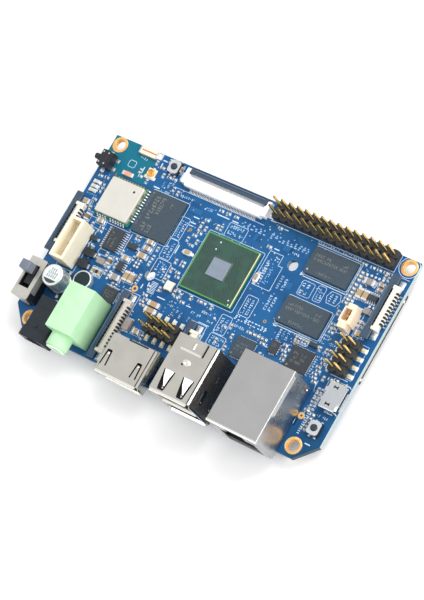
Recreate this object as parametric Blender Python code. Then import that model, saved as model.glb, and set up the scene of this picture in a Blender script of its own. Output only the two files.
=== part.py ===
"""Single board computer, 100 x 60 mm, modelled as separate named pieces.

Board frame, used for all dimensions: millimetres, x along the long edge, y along the
short edge, z = 0 on the board face that carries the connectors, +z away from the board.
The world frame has the same axes in metres, with its origin under the middle of the
footprint, on the plane the object rests on.
"""
import math

import bmesh
import bpy
from mathutils import Matrix

MM = 0.001
SMOOTH_ANGLE = math.radians(35)
SIDES = (-1, 1)

# ---- world origin in the board frame ---------------------------------------
FRAME_X = 49.55
FRAME_Y = 28.65
FRAME_Z = -4.45              # lowest face, under the card slot

# ---- board -----------------------------------------------------------------
BOARD_L = 100.0
BOARD_W = 60.0
BOARD_T = 1.6
CHAMFER_L = (5.0, 5.42)      # x and y cut off the corner x=0, y=0
CHAMFER_R = (5.37, 5.65)     # x and y cut off the corner x=100, y=0
MOUNT_HOLES = {"nw": (2.6, 57.65), "ne": (97.5, 57.65), "se": (93.4, 3.2), "sw": (6.0, 3.0)}
MOUNT_HOLE_R = 1.55
PLATING_OUT_R = 1.70
PLATING_FLANGE_R = 2.35
BOARD_HOLE_R = 1.75
COOLER_HOLES = ((67.85, 45.9), (31.95, 27.65))
COOLER_HOLE_R = 1.55
TAIL_Z = -3.0                # solder tails end here
TAIL_CLEAR = 0.2             # clearance of a tail in its hole

# ---- pin headers: first pin x, first pin y, columns, rows --------------------
PITCH = 2.54
PIN = 0.64
PIN_TOP = 8.49
STRIP_NOTCH = 0.42
GPIO = (57.32, 56.37, 15, 2)
MIDDLE_HEADER = (40.80, 13.95, 4, 2)
SIDE_HEADER = (93.40, 25.28, 2, 4)

# ---- connectors and switches that share dimensions with the board holes ------
USB_X = (57.25, 69.85)
ETHERNET_X = (74.7, 90.25)
PORT_WALL = 0.35             # sheet of the usb and ethernet shells
VIDEO_X = (34.83, 49.40)
VIDEO_WALL = 0.4
SWITCH_CENTRE = (3.25, 12.0)
MICROPHONE = (15.45, 18.3)

# ---- flat-cable connectors ---------------------------------------------------
# name: (x and y of the lock's outer edge, turn in degrees, lock length, housing length,
#        depth, crossbar, y of the lip's edge in the connector's frame, eared)
CABLE_CONNECTORS = {
    "display_cable": (40.4, 59.4, 180.0, 25.4, 25.4, 5.6, 1.35, 0.45, True),
    "camera_cable": (95.1, 45.05, -90.0, 18.7, 13.0, 3.75, 1.45, -0.35, False),
    "sensor_cable": (-0.7, 31.3, -90.0, 18.6, 13.0, 4.35, 1.35, 0.15, False),
    "panel_cable": (28.1, 10.7, -90.0, 20.6, 16.2, 4.3, 1.30, 0.15, False),
    "touch_cable": (50.4, 10.7, -90.0, 20.6, 16.2, 4.3, 1.35, 0.15, False),
}
CABLE_TOP = 2.0
HINGE_DROP = 0.30            # hinge axis below the top face
TRUNNION_R = 0.20
TRUNNION_HOLE_R = 0.29

# ---- tactile switches: x, y ----------------------------------------------------
TACT_SWITCHES = {"reset": (96.6, 9.35), "recovery": (22.1, 57.6)}

for old in list(bpy.data.objects):
    bpy.data.objects.remove(old, do_unlink=True)


# ---- materials -------------------------------------------------------------
def material(name, color, roughness, metallic=0.0):
    made = bpy.data.materials.new(name)
    made.use_nodes = True
    inputs = made.node_tree.nodes["Principled BSDF"].inputs
    inputs["Base Color"].default_value = (*color, 1.0)
    inputs["Roughness"].default_value = roughness
    inputs["Metallic"].default_value = metallic
    made.diffuse_color = (*color, 1.0)
    return made


BLUE = material("board_blue", color=(0.012, 0.11, 0.36), roughness=0.38)
GOLD = material("gold_plating", color=(0.86, 0.52, 0.16), roughness=0.3, metallic=1.0)
BLACK = material("black_plastic", color=(0.022, 0.024, 0.03), roughness=0.5)
CHIP = material("chip_epoxy", color=(0.055, 0.06, 0.068), roughness=0.55)
STEEL = material("shell_steel", color=(0.66, 0.65, 0.62), roughness=0.3, metallic=1.0)
NICKEL = material("shield_nickel", color=(0.74, 0.71, 0.64), roughness=0.42, metallic=1.0)
GREEN = material("jack_green", color=(0.56, 0.86, 0.52), roughness=0.45)
CREAM = material("connector_cream", color=(0.86, 0.74, 0.52), roughness=0.5)
GREY = material("lock_grey", color=(0.09, 0.11, 0.15), roughness=0.45)
SUBSTRATE = material("package_green", color=(0.035, 0.10, 0.05), roughness=0.4)
SILICON = material("silicon", color=(0.42, 0.42, 0.48), roughness=0.25)
ALUMINIUM = material("capacitor_aluminium", color=(0.72, 0.74, 0.76), roughness=0.3,
                     metallic=1.0)


# ---- spans: (low, high) pairs along one axis ---------------------------------
def around(centre, width):
    return (centre - width / 2, centre + width / 2)


def inset(span, wall):
    return (span[0] + wall, span[1] - wall)


def middle(span):
    return (span[0] + span[1]) / 2


# ---- outlines ----------------------------------------------------------------
def chamfered(x_span, y_span, cuts):
    """A rectangle with its corners cut: one size, or four from (low, low) round by +x."""
    if not isinstance(cuts, tuple):
        cuts = (cuts,) * 4
    left, right = x_span
    low, high = y_span
    # corner, then the directions from it to its two cut points
    corners = (
        (left, low, (0, 1), (1, 0)),
        (right, low, (-1, 0), (0, 1)),
        (right, high, (0, -1), (-1, 0)),
        (left, high, (1, 0), (0, -1)),
    )
    points = []
    for (x, y, *directions), size in zip(corners, cuts):
        if size:
            points += [(x + dx * size, y + dy * size) for dx, dy in directions]
        else:
            points.append((x, y))
    return points


def circle(centre, radius, sides):
    angles = [2 * math.pi * i / sides for i in range(sides)]
    return [(centre[0] + radius * math.cos(angle), centre[1] + radius * math.sin(angle))
            for angle in angles]


# ---- solids: (points, faces as point indices) ----------------------------------
def loft(rings):
    """Closed solid through a stack of rings with equal point counts."""
    points = [point for ring in rings for point in ring]
    count = len(rings[0])
    last = len(points) - count
    faces = [range(count)[::-1], range(last, last + count)]
    for start in range(0, last, count):
        for i in range(count):
            k = (i + 1) % count
            faces.append((start + i, start + k, start + count + k, start + count + i))
    return points, faces


def prism(outline, span, axis="z"):
    """An outline pushed along an axis; its points are (x, y), (y, z) or (x, z)."""
    place = {
        "x": lambda point, along: (along, point[0], point[1]),
        "y": lambda point, along: (point[0], along, point[1]),
        "z": lambda point, along: (point[0], point[1], along),
    }[axis]
    return loft([[place(point, along) for point in outline] for along in span])


def box(x_span, y_span, z_span):
    return prism(chamfered(x_span, y_span, 0), z_span)


def turned(centre, profile, sides):
    """Solid of revolution about the vertical; profile is (radius, z), closed by flat ends."""
    return loft([[(x, y, z) for x, y in circle(centre, radius, sides)]
                 for radius, z in profile])


def tube(centre, profile, sides):
    """A closed (radius, z) profile spun about the vertical, leaving an open bore."""
    circles = [circle(centre, radius, sides) for radius, z in profile]
    size = len(profile)
    points = [(*circles[j][i], profile[j][1]) for i in range(sides) for j in range(size)]
    faces = []
    for i in range(sides):
        here = i * size
        after = (i + 1) % sides * size
        for j in range(size):
            k = (j + 1) % size
            faces.append((here + j, after + j, after + k, here + k))
    return points, faces


# ---- pieces ------------------------------------------------------------------
def join(*solids):
    return "UNION", solids


def cut(*solids):
    return "DIFFERENCE", solids


def add_object(name, solids, origin, turn):
    bm = bmesh.new()
    for points, faces in solids:
        verts = [bm.verts.new(point) for point in points]
        for face in faces:
            bm.faces.new([verts[i] for i in face])
    bmesh.ops.recalc_face_normals(bm, faces=bm.faces[:])
    to_local = Matrix.Scale(MM, 4)
    if turn is None:
        to_local = to_local @ Matrix.Translation([-value for value in origin])
    bmesh.ops.transform(bm, matrix=to_local, verts=bm.verts[:])
    mesh = bpy.data.meshes.new(name)
    bm.to_mesh(mesh)
    bm.free()
    mesh.shade_smooth()
    mesh.set_sharp_from_angle(angle=SMOOTH_ANGLE)
    made = bpy.data.objects.new(name, mesh)
    made.location = [(value - frame) * MM
                     for value, frame in zip(origin, (FRAME_X, FRAME_Y, FRAME_Z))]
    made.rotation_euler = (0.0, 0.0, math.radians(turn or 0.0))
    bpy.context.scene.collection.objects.link(made)
    return made


def build(name, surface, origin, base, *steps, turn=None):
    """One piece: a base solid, then join() and cut() steps in order.

    Solids are in the board frame, or in the piece's own frame when it has a turn.
    """
    piece = add_object(name, [base], origin, turn)
    piece.data.materials.append(surface)
    for i, (operation, solids) in enumerate(steps):
        tool = add_object("%s_tool_%d" % (name, i), solids, origin, turn)
        tool.hide_render = True
        tool.display_type = "WIRE"
        boolean = piece.modifiers.new("op_%d" % i, "BOOLEAN")
        boolean.operation = operation
        boolean.object = tool
        boolean.solver = "EXACT"


# ---- solder tails: (x, y, width in x, width in y) ----------------------------
def pin_grid(x_first, y_first, columns, rows):
    return [(x_first + i * PITCH, y_first + j * PITCH)
            for i in range(columns) for j in range(rows)]


GPIO_TAILS = [(x, y, PIN, PIN) for x, y in pin_grid(*GPIO)]
SERIAL_PINS = [(7.7, 22.8 + 2.5 * i, PIN, PIN) for i in range(4)]
POWER_TAILS = [(10.0, 7.4, 0.8, 2.0), (12.95, 8.9, 2.2, 0.6), (16.2, 5.2, 0.6, 2.0)]
AUDIO_TAILS = [(x, y, 0.5, 1.2) for y in (4.0, 13.0) for x in (20.0, 25.5)]
USB_LEGS = [(x, y, PORT_WALL, 2.2) for x in inset(USB_X, PORT_WALL / 2) for y in (3.6, 11.6)]
USB_PINS = [(60.0 + 2.35 * i, y, 0.5, 0.5) for i in range(4) for y in (11.2, 13.2)]
ETHERNET_LEGS = [(x, 9.0, PORT_WALL, 1.8) for x in inset(ETHERNET_X, PORT_WALL / 2)]
ETHERNET_PINS = [(78.2 + 1.25 * i, 12.6 + 2.5 * (i % 2), 0.5, 0.5) for i in range(8)]
VIDEO_LEGS = [(x, y, VIDEO_WALL, 1.5)
              for x in inset(VIDEO_X, VIDEO_WALL / 2) for y in (1.6, 7.0)]
SWITCH_PINS = [(SWITCH_CENTRE[0], 9.4 + 2.6 * i, 0.6, 0.6) for i in range(3)]
SWITCH_LEGS = [(SWITCH_CENTRE[0], y, 1.5, 0.26) for y in (6.12, 17.88)]
MICROPHONE_PINS = [(x, MICROPHONE[1], 0.5, 0.5) for x in around(MICROPHONE[0], 2.5)]
ALL_TAILS = (GPIO_TAILS + SERIAL_PINS + POWER_TAILS + AUDIO_TAILS + USB_LEGS + USB_PINS
             + ETHERNET_LEGS + ETHERNET_PINS + VIDEO_LEGS + SWITCH_PINS + SWITCH_LEGS
             + MICROPHONE_PINS)


def posts(rows, z_span, clearance=0.0):
    """One upright box for each row of a tail table."""
    return [box(around(x, width_x + 2 * clearance), around(y, width_y + 2 * clearance), z_span)
            for x, y, width_x, width_y in rows]


def tails(rows, top):
    return join(*posts(rows, (TAIL_Z, top)))


# ---- board -----------------------------------------------------------------
def board():
    outline = [
        (CHAMFER_L[0], 0), (BOARD_L - CHAMFER_R[0], 0), (BOARD_L, CHAMFER_R[1]),
        (BOARD_L, BOARD_W), (0, BOARD_W), (0, CHAMFER_L[1]),
    ]
    through = (-BOARD_T - 1, 1)
    holes = [prism(circle(centre, BOARD_HOLE_R, 24), through)
             for centre in MOUNT_HOLES.values()]
    holes += [prism(circle(centre, COOLER_HOLE_R, 28), through) for centre in COOLER_HOLES]
    holes += posts(ALL_TAILS, through, TAIL_CLEAR)
    build("pcb", BLUE, (BOARD_L / 2, BOARD_W / 2, 0.0), prism(outline, (-BOARD_T, 0.0)),
          cut(*holes))


def mount_hole_platings():
    near, far = 0.04, 0.12   # flange faces, measured out from the board's faces
    profile = [
        (MOUNT_HOLE_R, far), (MOUNT_HOLE_R, -BOARD_T - far),
        (PLATING_FLANGE_R, -BOARD_T - far), (PLATING_FLANGE_R, -BOARD_T - near),
        (PLATING_OUT_R, -BOARD_T - near), (PLATING_OUT_R, near),
        (PLATING_FLANGE_R, near), (PLATING_FLANGE_R, far),
    ]
    for tag, centre in MOUNT_HOLES.items():
        build("mount_hole_plating_" + tag, GOLD, (*centre, 0.0), tube(centre, profile, 24))


# ---- plain blocks --------------------------------------------------------------
# name, material, x span, y span, z span, corner cut, top edge chamfer
BLOCKS = (
    ("cpu_substrate", SUBSTRATE, (41.56, 58.56), (28.22, 45.22), (0.3, 0.95), 0, 0),
    ("cpu_die", SILICON, (47.0, 52.6), (33.95, 39.25), (1.0, 1.35), 0, 0),
    ("ram_chip_upper", CHIP, (71.65, 84.95), (45.35, 53.05), (0.3, 1.1), 0, 0.08),
    ("ram_chip_lower", CHIP, (71.55, 84.85), (30.5, 38.2), (0.3, 1.1), 0, 0.08),
    ("flash_chip", CHIP, (19.7, 31.4), (36.75, 49.6), (0.25, 1.05), 0, 0.08),
    ("level_shifter_chip", CHIP, (14.65, 19.05), (29.1, 35.6), (0.2, 1.15), 0, 0.1),
    ("ethernet_phy_chip", CHIP, (80.1, 86.5), (20.5, 26.9), (0.1, 0.95), 0, 0.06),
    ("usb_hub_chip", CHIP, (64.6, 70.4), (17.2, 23.0), (0.1, 0.95), 0, 0.06),
    ("crystal_can", NICKEL, (37.75, 40.15), (25.85, 28.35), (0.1, 0.8), 0.25, 0.1),
    ("radio_module_board", BLUE, (6.6, 18.6), (36.95, 49.0), (0.1, 0.7), 0, 0),
    ("chip_antenna", CREAM, (9.5, 15.6), (57.6, 59.7), (0.15, 1.1), 0, 0.08),
)


def block(name, surface, x_span, y_span, z_span, corner, edge):
    outline = chamfered(x_span, y_span, corner)
    mid_x, mid_y = middle(x_span), middle(y_span)
    bottom, top = z_span
    if edge:
        scale_x = 1 - 2 * edge / (x_span[1] - x_span[0])
        scale_y = 1 - 2 * edge / (y_span[1] - y_span[0])
        solid = loft([
            [(x, y, bottom) for x, y in outline],
            [(x, y, top - edge) for x, y in outline],
            [(mid_x + (x - mid_x) * scale_x, mid_y + (y - mid_y) * scale_y, top)
             for x, y in outline],
        ])
    else:
        solid = prism(outline, z_span)
    build(name, surface, (mid_x, mid_y, bottom), solid)


# ---- radio -------------------------------------------------------------------
def radio_shield():
    """Can open underneath, with a small round hole in its top."""
    x_span, y_span = (7.0, 18.0), (37.5, 48.4)
    bottom, top = 0.75, 1.95
    sheet = 0.2
    build("radio_shield_can", NICKEL, (12.5, 42.95, bottom),
          prism(chamfered(x_span, y_span, 0.35), (bottom, top)),
          cut(prism(chamfered(inset(x_span, sheet), inset(y_span, sheet), 0.3),
                    (0.4, top - sheet))),
          cut(prism(circle((15.9, 46.4), 0.3, 12), (1.5, 2.3))))


def antenna_socket():
    centre = (16.25, 53.55)
    base_width = 2.8
    barrel_r, bore_r, pin_r = 1.0, 0.8, 0.2
    base = chamfered(around(centre[0], base_width), around(centre[1], base_width), 0.3)
    build("antenna_socket", GOLD, (*centre, 0.0),
          prism(base, (0.1, 0.45)),
          join(prism(circle(centre, barrel_r, 20), (0.3, 1.25))),
          cut(prism(circle(centre, bore_r, 20), (0.6, 1.5))),
          join(prism(circle(centre, pin_r, 8), (0.5, 1.15))))


# ---- connectors that open towards -y -------------------------------------------
def power_jack():
    bore = (12.95, 2.95)     # x, z
    x_span, y_span = (8.6, 17.3), (-2.9, 9.6)
    build("power_jack_housing", BLACK, (middle(x_span), middle(y_span), 0.0),
          prism(chamfered(x_span, (0.2, 5.6), (0.0, 0.0, 0.3, 0.3)), y_span, "y"),
          cut(prism(circle(bore, 2.3, 24), (-4.0, 6.6), "y")),
          cut(prism(circle(bore, 1.0, 16), (6.0, 12.0), "y")),
          tails(POWER_TAILS, 0.8))
    pin_start = -2.0
    build("power_jack_pin", STEEL, (bore[0], pin_start, bore[1]),
          prism(circle(bore, 0.82, 16), (pin_start, 10.0), "y"),
          join(prism(circle(bore, 1.6, 16), (9.8, 10.2), "y")))


def audio_jack():
    bore = (22.75, 7.5)      # x, z
    x_span, y_span = (18.5, 27.0), (1.5, 15.3)
    build("audio_jack_housing", GREEN, (bore[0], middle(y_span), 0.0),
          prism(chamfered(x_span, (0.2, 11.7), (0.0, 0.0, 0.25, 0.25)), y_span, "y"),
          join(prism(circle(bore, 3.1, 28), (-2.9, 3.0), "y")),
          cut(prism(circle(bore, 1.8, 20), (-4.0, 13.2), "y")),
          tails(AUDIO_TAILS, 0.8))


def video_port():
    origin = (42.1, 3.0, 0.0)
    z_span = (0.15, 6.1)
    front, back = -2.8, 8.7
    cavity = chamfered(inset(VIDEO_X, VIDEO_WALL), inset(z_span, VIDEO_WALL),
                       (0.9, 0.9, 0.25, 0.25))
    build("video_port_shell", STEEL, origin,
          prism(chamfered(VIDEO_X, z_span, 0.4), (front, back), "y"),
          cut(prism(cavity, (-4.0, back - VIDEO_WALL), "y")),
          tails(VIDEO_LEGS, 1.2))
    # y, z: a back wall with one tongue towards -y
    section = [
        (8.0, 0.85), (4.6, 0.85), (4.6, 2.7), (-1.6, 2.7),
        (-1.6, 3.6), (4.6, 3.6), (4.6, 5.4), (8.0, 5.4),
    ]
    build("video_port_insulator", BLACK, origin, prism(section, (36.4, 47.8), "x"))


def port_shell(name, origin, x_span, y_span, top, legs):
    """Sheet-metal box, open towards -y and underneath."""
    build(name, STEEL, origin,
          box(x_span, y_span, (0.2, top)),
          cut(box(inset(x_span, PORT_WALL), (y_span[0] - 1, y_span[1] - PORT_WALL),
                  (-0.5, top - PORT_WALL))),
          tails(legs, 1.2))


def usb_ports():
    y_span = (-2.2, 14.6)
    origin = (middle(USB_X), middle(y_span), 0.0)
    port_shell("usb_port_shell", origin, USB_X, y_span, 15.6, USB_LEGS)
    # y, z: a back wall with floor, tongue, divider and tongue towards -y
    section = [
        (14.0, 0.3), (-1.8, 0.3), (-1.8, 1.2), (9.5, 1.2),
        (9.5, 4.4), (-1.0, 4.4), (-1.0, 6.1), (9.5, 6.1),
        (9.5, 7.2), (-1.8, 7.2), (-1.8, 8.4), (9.5, 8.4),
        (9.5, 11.7), (-1.0, 11.7), (-1.0, 13.4), (9.5, 13.4),
        (9.5, 15.0), (14.0, 15.0),
    ]
    build("usb_port_insulator", BLACK, origin,
          prism(section, (57.9, 69.2), "x"), tails(USB_PINS, 0.6))


def ethernet_port():
    origin = (82.5, 7.85, 0.0)
    port_shell("ethernet_port_shell", origin, ETHERNET_X, (-2.53, 18.25), 13.4, ETHERNET_LEGS)
    # x, z: the opening, stepped in at the top
    opening = [
        (76.6, 2.5), (88.4, 2.5), (88.4, 9.2), (85.7, 9.2),
        (85.7, 11.9), (79.3, 11.9), (79.3, 9.2), (76.6, 9.2),
    ]
    build("ethernet_port_insert", BLACK, origin,
          box((75.35, 89.6), (-2.1, 17.6), (0.4, 12.75)),
          cut(prism(opening, (-4.0, 10.4), "y")),
          tails(ETHERNET_PINS, 0.8))


# ---- connectors that open towards +x -------------------------------------------
def micro_usb_port():
    origin = (97.5, 18.4, 0.0)
    y_span, z_span = (14.6, 22.2), (0.2, 2.85)
    back, mouth = 94.7, 100.4
    sheet = 0.25
    cavity = chamfered(inset(y_span, sheet), inset(z_span, sheet), (0.65, 0.65, 0.15, 0.15))
    build("micro_usb_shell", STEEL, origin,
          prism(chamfered(y_span, z_span, (0.7, 0.7, 0.2, 0.2)), (back, mouth), "x"),
          cut(prism(cavity, (back + sheet, 102.0), "x")))
    build("micro_usb_tongue", BLACK, origin,
          box((95.2, 96.2), (15.8, 21.0), (0.8, 2.3)),
          join(box((96.0, 99.5), (16.5, 20.3), (1.45, 2.0))))


def card_slot():
    """Under the board: sheet-metal cover, moulded base and eject slider."""
    x_low, x_high = 71.2, 98.9
    y_span = (24.9, 51.9)
    middle_xy = (85.0, 38.4)
    sheet = 0.2
    base_bottom = -4.05
    pocket_z = (-5.0, -2.15)
    build("card_slot_cover", STEEL, (*middle_xy, FRAME_Z),
          box((x_low, x_high), y_span, (FRAME_Z, -1.95)),
          cut(box((x_low + sheet, x_high + 1), inset(y_span, sheet), (FRAME_Z + sheet, -1.0))),
          cut(box((x_high - 2.2, x_high + 1), (33.4, 42.4), (FRAME_Z - 1, FRAME_Z + 0.5))))
    build("card_slot_base", BLACK, (*middle_xy, base_bottom),
          box((x_low + 0.4, x_high + 0.5), inset(y_span, 0.4), (base_bottom, -1.75)),
          cut(box((x_low + 3.2, x_high + 2), (26.3, 49.6), pocket_z)),
          cut(box((x_low + 4.2, 95.2), (49.0, 51.1), pocket_z)))
    # x, y: a bar along x with a finger towards -y at its low-x end
    slider = [
        (82.0, 50.0), (82.0, 48.2), (83.0, 48.2), (83.0, 50.0),
        (93.0, 50.0), (93.0, 50.7), (82.0, 50.7),
    ]
    build("card_eject_slider", GREY, (86.0, 50.2, -3.1), prism(slider, (-3.85, -2.4)))


# ---- pin headers -----------------------------------------------------------------
def strip_centre(x_first, y_first, columns, rows):
    return (x_first + (columns - 1) * PITCH / 2, y_first + (rows - 1) * PITCH / 2, 0.0)


def strip_outline(x_first, y_first, columns, rows):
    """A header strip's outline, with a notch between neighbouring positions."""
    half = PITCH / 2
    flat = half - STRIP_NOTCH
    x, y = x_first, y_first
    points = []
    # walk the edge positions counter-clockwise, outward being to the right of the step
    for step_x, step_y, count in ((1, 0, columns), (0, 1, rows),
                                  (-1, 0, columns), (0, -1, rows)):
        for i in range(count):
            corners = [(-flat, half), (flat, half)]      # along the step, outward
            if i < count - 1:
                corners.append((half, flat))
            points += [(x + step_x * along + step_y * out, y + step_y * along - step_x * out)
                       for along, out in corners]
            if i < count - 1:
                x += step_x * PITCH
                y += step_y * PITCH
    return points


def gpio_header():
    build("gpio_header", BLACK, strip_centre(*GPIO),
          prism(strip_outline(*GPIO), (0.1, 2.6)),
          join(*posts(GPIO_TAILS, (2.0, PIN_TOP))),
          tails(GPIO_TAILS, 0.6))


def surface_header(name, layout, foot_axis):
    """A surface-mount header: each pin is bent outwards into a foot along foot_axis."""
    half = PIN / 2
    foot_reach = 2.6
    foot_bottom, foot_top = 0.1, 0.5
    pins = []
    for x, y in pin_grid(*layout):
        if foot_axis == "y":
            centre, first, across, push = y, layout[1], x, "x"
        else:
            centre, first, across, push = x, layout[0], y, "y"
        side = -1 if centre == first else 1
        inner, outer = centre - side * half, centre + side * half
        toe = centre + side * foot_reach
        bent = [(inner, foot_bottom), (toe, foot_bottom), (toe, foot_top),
                (outer, foot_top), (outer, PIN_TOP), (inner, PIN_TOP)]
        pins.append(prism(bent, around(across, PIN), push))
    build(name, BLACK, strip_centre(*layout),
          prism(strip_outline(*layout), (0.7, 3.2)), join(*pins))


# ---- wire connectors -------------------------------------------------------------
def serial_connector():
    build("serial_connector", CREAM, (7.4, 26.3, 0.0),
          box((5.05, 9.75), (20.05, 32.6), (0.1, 7.0)),
          cut(prism(chamfered((6.05, 9.3), (20.9, 31.9), 0.4), (2.2, 8.0))),
          tails(SERIAL_PINS, 5.8))


def battery_connector():
    # x, y: a body with a narrower step at each end in y
    outline = [
        (88.9, 36.6), (89.3, 36.6), (89.3, 35.1), (91.7, 35.1), (91.7, 36.6), (92.3, 36.6),
        (92.3, 41.0), (91.9, 41.0), (91.9, 42.1), (89.5, 42.1), (89.5, 41.0), (88.9, 41.0),
    ]
    pins = [(90.3, y, 0.4, 0.4) for y in (38.2, 39.5)]
    build("battery_connector", CREAM, (90.5, 38.6, 0.0),
          prism(outline, (0.1, 4.3)),
          cut(box((89.3, 91.3), (37.2, 40.5), (1.4, 5.0))),
          join(*posts(pins, (1.0, 3.8))))


# ---- flat-cable connectors ---------------------------------------------------------
def hinge_rods(centre, radius, sides, near, far):
    """Two rods on the hinge axis, each from near to far out from the middle."""
    return [prism(circle(centre, radius, sides), (side * near, side * far), "x")
            for side in SIDES]


def cable_connector(name, x, y, turn, lock_length, house_length, depth, crossbar, lip_y, eared):
    """Housing and hinged lock. Own frame: x along it, y from cable side to solder side."""
    house_end, lock_end = house_length / 2, lock_length / 2
    hinge_z = CABLE_TOP - HINGE_DROP
    body_z = (0.1, CABLE_TOP)
    lock_bottom, lock_top = 0.8 - hinge_z, CABLE_TOP - 0.05 - hinge_z

    if eared:
        # the housing's ears reach past both ends of the lock
        hinge_y = crossbar + 0.35
        front = hinge_y + 0.45
        ear = lock_end + 0.15
        ear_out, heel = ear + 1.1, ear - 0.4
        shoulder = depth - 0.6
        body = prism([
            (-ear_out, lip_y), (-ear, lip_y), (-ear, front), (ear, front),
            (ear, lip_y), (ear_out, lip_y), (ear_out, shoulder), (heel, shoulder),
            (heel, depth), (-heel, depth), (-heel, shoulder), (-ear_out, shoulder),
        ], body_z)
        lip_end = ear + 0.3
        hole_reach = (ear - 0.4, ear + 0.6)
        rod_reach = (lock_end - 0.3, lock_end + 0.55)
        lock = box((-lock_end, lock_end), (-hinge_y, 0.2), (lock_bottom, lock_top))
    else:
        # the lock's arms reach round both ends of the housing
        hinge_y = crossbar + 0.6
        front = hinge_y - 0.35
        body = box((-house_end, house_end), (front, depth), body_z)
        lip_end = house_end - 0.3
        hole_reach = (house_end - 0.6, house_end + 0.4)
        rod_reach = (house_end - 0.3, house_end + 0.45)
        arm_in, arm_y, bar_y = house_end + 0.15, 0.45, -0.6
        lock = prism([
            (-lock_end, -hinge_y), (lock_end, -hinge_y), (lock_end, arm_y), (arm_in, arm_y),
            (arm_in, bar_y), (-arm_in, bar_y), (-arm_in, arm_y), (-lock_end, arm_y),
        ], (lock_bottom + 0.1, lock_top))

    lip = box((-lip_end, lip_end), (lip_y, front + 0.2), (0.1, 0.5))
    slot = box((1.0 - house_end, house_end - 1.0), (front - 1.0, front + 1.6), (0.7, 1.15))
    holes = hinge_rods((hinge_y, hinge_z), TRUNNION_HOLE_R, 12, *hole_reach)
    build(name + "_connector", CREAM, (x, y, 0.0),
          body, join(lip), *map(cut, holes), cut(slot), turn=turn)

    angle = math.radians(turn)
    hinge = (x - hinge_y * math.sin(angle), y + hinge_y * math.cos(angle), hinge_z)
    rods = hinge_rods((0.0, 0.0), TRUNNION_R, 10, *rod_reach)
    build(name + "_lock", GREY, hinge, lock, *map(join, rods), turn=turn)


# ---- switches ----------------------------------------------------------------------
def power_switch():
    x, y = SWITCH_CENTRE
    build("power_switch_body", BLACK, (x, y, 0.2),
          box(around(x, 4.8), around(y, 10.9), (0.2, 5.85)),
          cut(box((1.25, 4.95), (7.2, 16.8), (3.0, 7.0))),
          tails(SWITCH_PINS, 0.8))
    # x, z: a skirt at each end of the frame, narrowing down to a solder leg
    skirt = [
        (0.9, 6.3), (0.9, 4.6), (2.5, 2.6), (2.5, TAIL_Z),
        (4.0, TAIL_Z), (4.0, 2.6), (5.6, 4.6), (5.6, 6.3),
    ]
    build("power_switch_frame", NICKEL, (x, y, 6.1),
          box((0.5, 6.0), (6.0, 18.0), (6.1, 6.45)),
          join(*[prism(skirt, span, "y") for span in ((6.0, 6.25), (17.75, 18.0))]),
          cut(box((1.3, 4.7), (9.0, 15.8), (5.0, 8.0))))
    build("power_switch_knob", BLACK, (3.0, 14.0, 5.0),
          box((1.9, 4.65), (10.2, 15.5), (3.4, 5.9)),
          join(prism(chamfered((1.55, 4.45), (12.7, 15.35), 0.2), (5.5, 11.4))))


def tact_switch(tag, centre):
    x, y = centre
    build(tag + "_button_base", NICKEL, (x, y, 0.1),
          prism(chamfered(around(x, 3.4), around(y, 3.8), 0.55), (0.1, 1.55)),
          cut(prism(circle(centre, 0.95, 20), (0.55, 2.0))))
    build(tag + "_button_plunger", BLACK, (x, y, 0.95),
          turned(centre, [(0.87, 0.95), (0.87, 2.0), (0.75, 2.1)], 20))


def side_button():
    """Button pressed along x, at the x=0 edge."""
    bore = (51.75, 1.9)      # y, z
    x_span, y_span = (0.9, 4.3), (49.4, 54.0)
    build("side_button_body", BLACK, (middle(x_span), middle(y_span), 0.2),
          prism(chamfered(y_span, (0.2, 3.5), (0.0, 0.0, 0.2, 0.2)), x_span, "x"),
          cut(prism(circle(bore, 0.97, 20), (-1.0, 2.9), "x")))
    build("side_button_plunger", BLACK, (0.0, *bore),
          prism(circle(bore, 0.88, 20), (-1.1, 2.4), "x"),
          join(prism(circle(bore, 0.75, 20), (-1.3, -0.9), "x")))


# ---- capacitor and microphone ---------------------------------------------------------
def capacitor():
    centre = (9.98, 15.12)
    width = 6.4
    base = chamfered(around(centre[0], width), around(centre[1], width), (0.0, 1.4, 1.5, 0.0))
    build("capacitor_base", BLACK, (*centre, 0.1), prism(base, (0.1, 1.25)))
    # radius, z: a can with a groove near its foot
    profile = [
        (2.85, 1.35), (3.15, 1.55), (3.15, 1.9), (2.95, 2.15),
        (3.15, 2.4), (3.15, 7.4), (2.9, 7.7),
    ]
    build("capacitor_can", ALUMINIUM, (*centre, 1.35), turned(centre, profile, 32))


def microphone():
    # radius, z: a low can with a shallow dished top
    profile = [(2.75, 0.2), (2.75, 2.1), (2.6, 2.2), (2.45, 2.2), (2.4, 2.1)]
    build("microphone_capsule", ALUMINIUM, (*MICROPHONE, 0.0),
          turned(MICROPHONE, profile, 28), tails(MICROPHONE_PINS, 0.8))


board()
mount_hole_platings()
for row in BLOCKS:
    block(*row)
radio_shield()
antenna_socket()
power_jack()
audio_jack()
video_port()
usb_ports()
ethernet_port()
micro_usb_port()
card_slot()
gpio_header()
surface_header("middle_header", MIDDLE_HEADER, foot_axis="y")
surface_header("side_header", SIDE_HEADER, foot_axis="x")
serial_connector()
battery_connector()
for name, row in CABLE_CONNECTORS.items():
    cable_connector(name, *row)
power_switch()
for tag, centre in TACT_SWITCHES.items():
    tact_switch(tag, centre)
side_button()
capacitor()
microphone()

bpy.context.view_layer.update()
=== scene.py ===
"""A small computer board, lying flat with its component side up.

Shapes are in millimetres from the board's south-west corner: +X is east, +Y is north and z = 0
is the component side. The large ports open south, the micro USB port opens east, the long pin
header runs along the north edge and the card slot is underneath.
"""
import math
import random

import bpy
from mathutils import Matrix, Vector
from mathutils.geometry import tessellate_polygon

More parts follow.
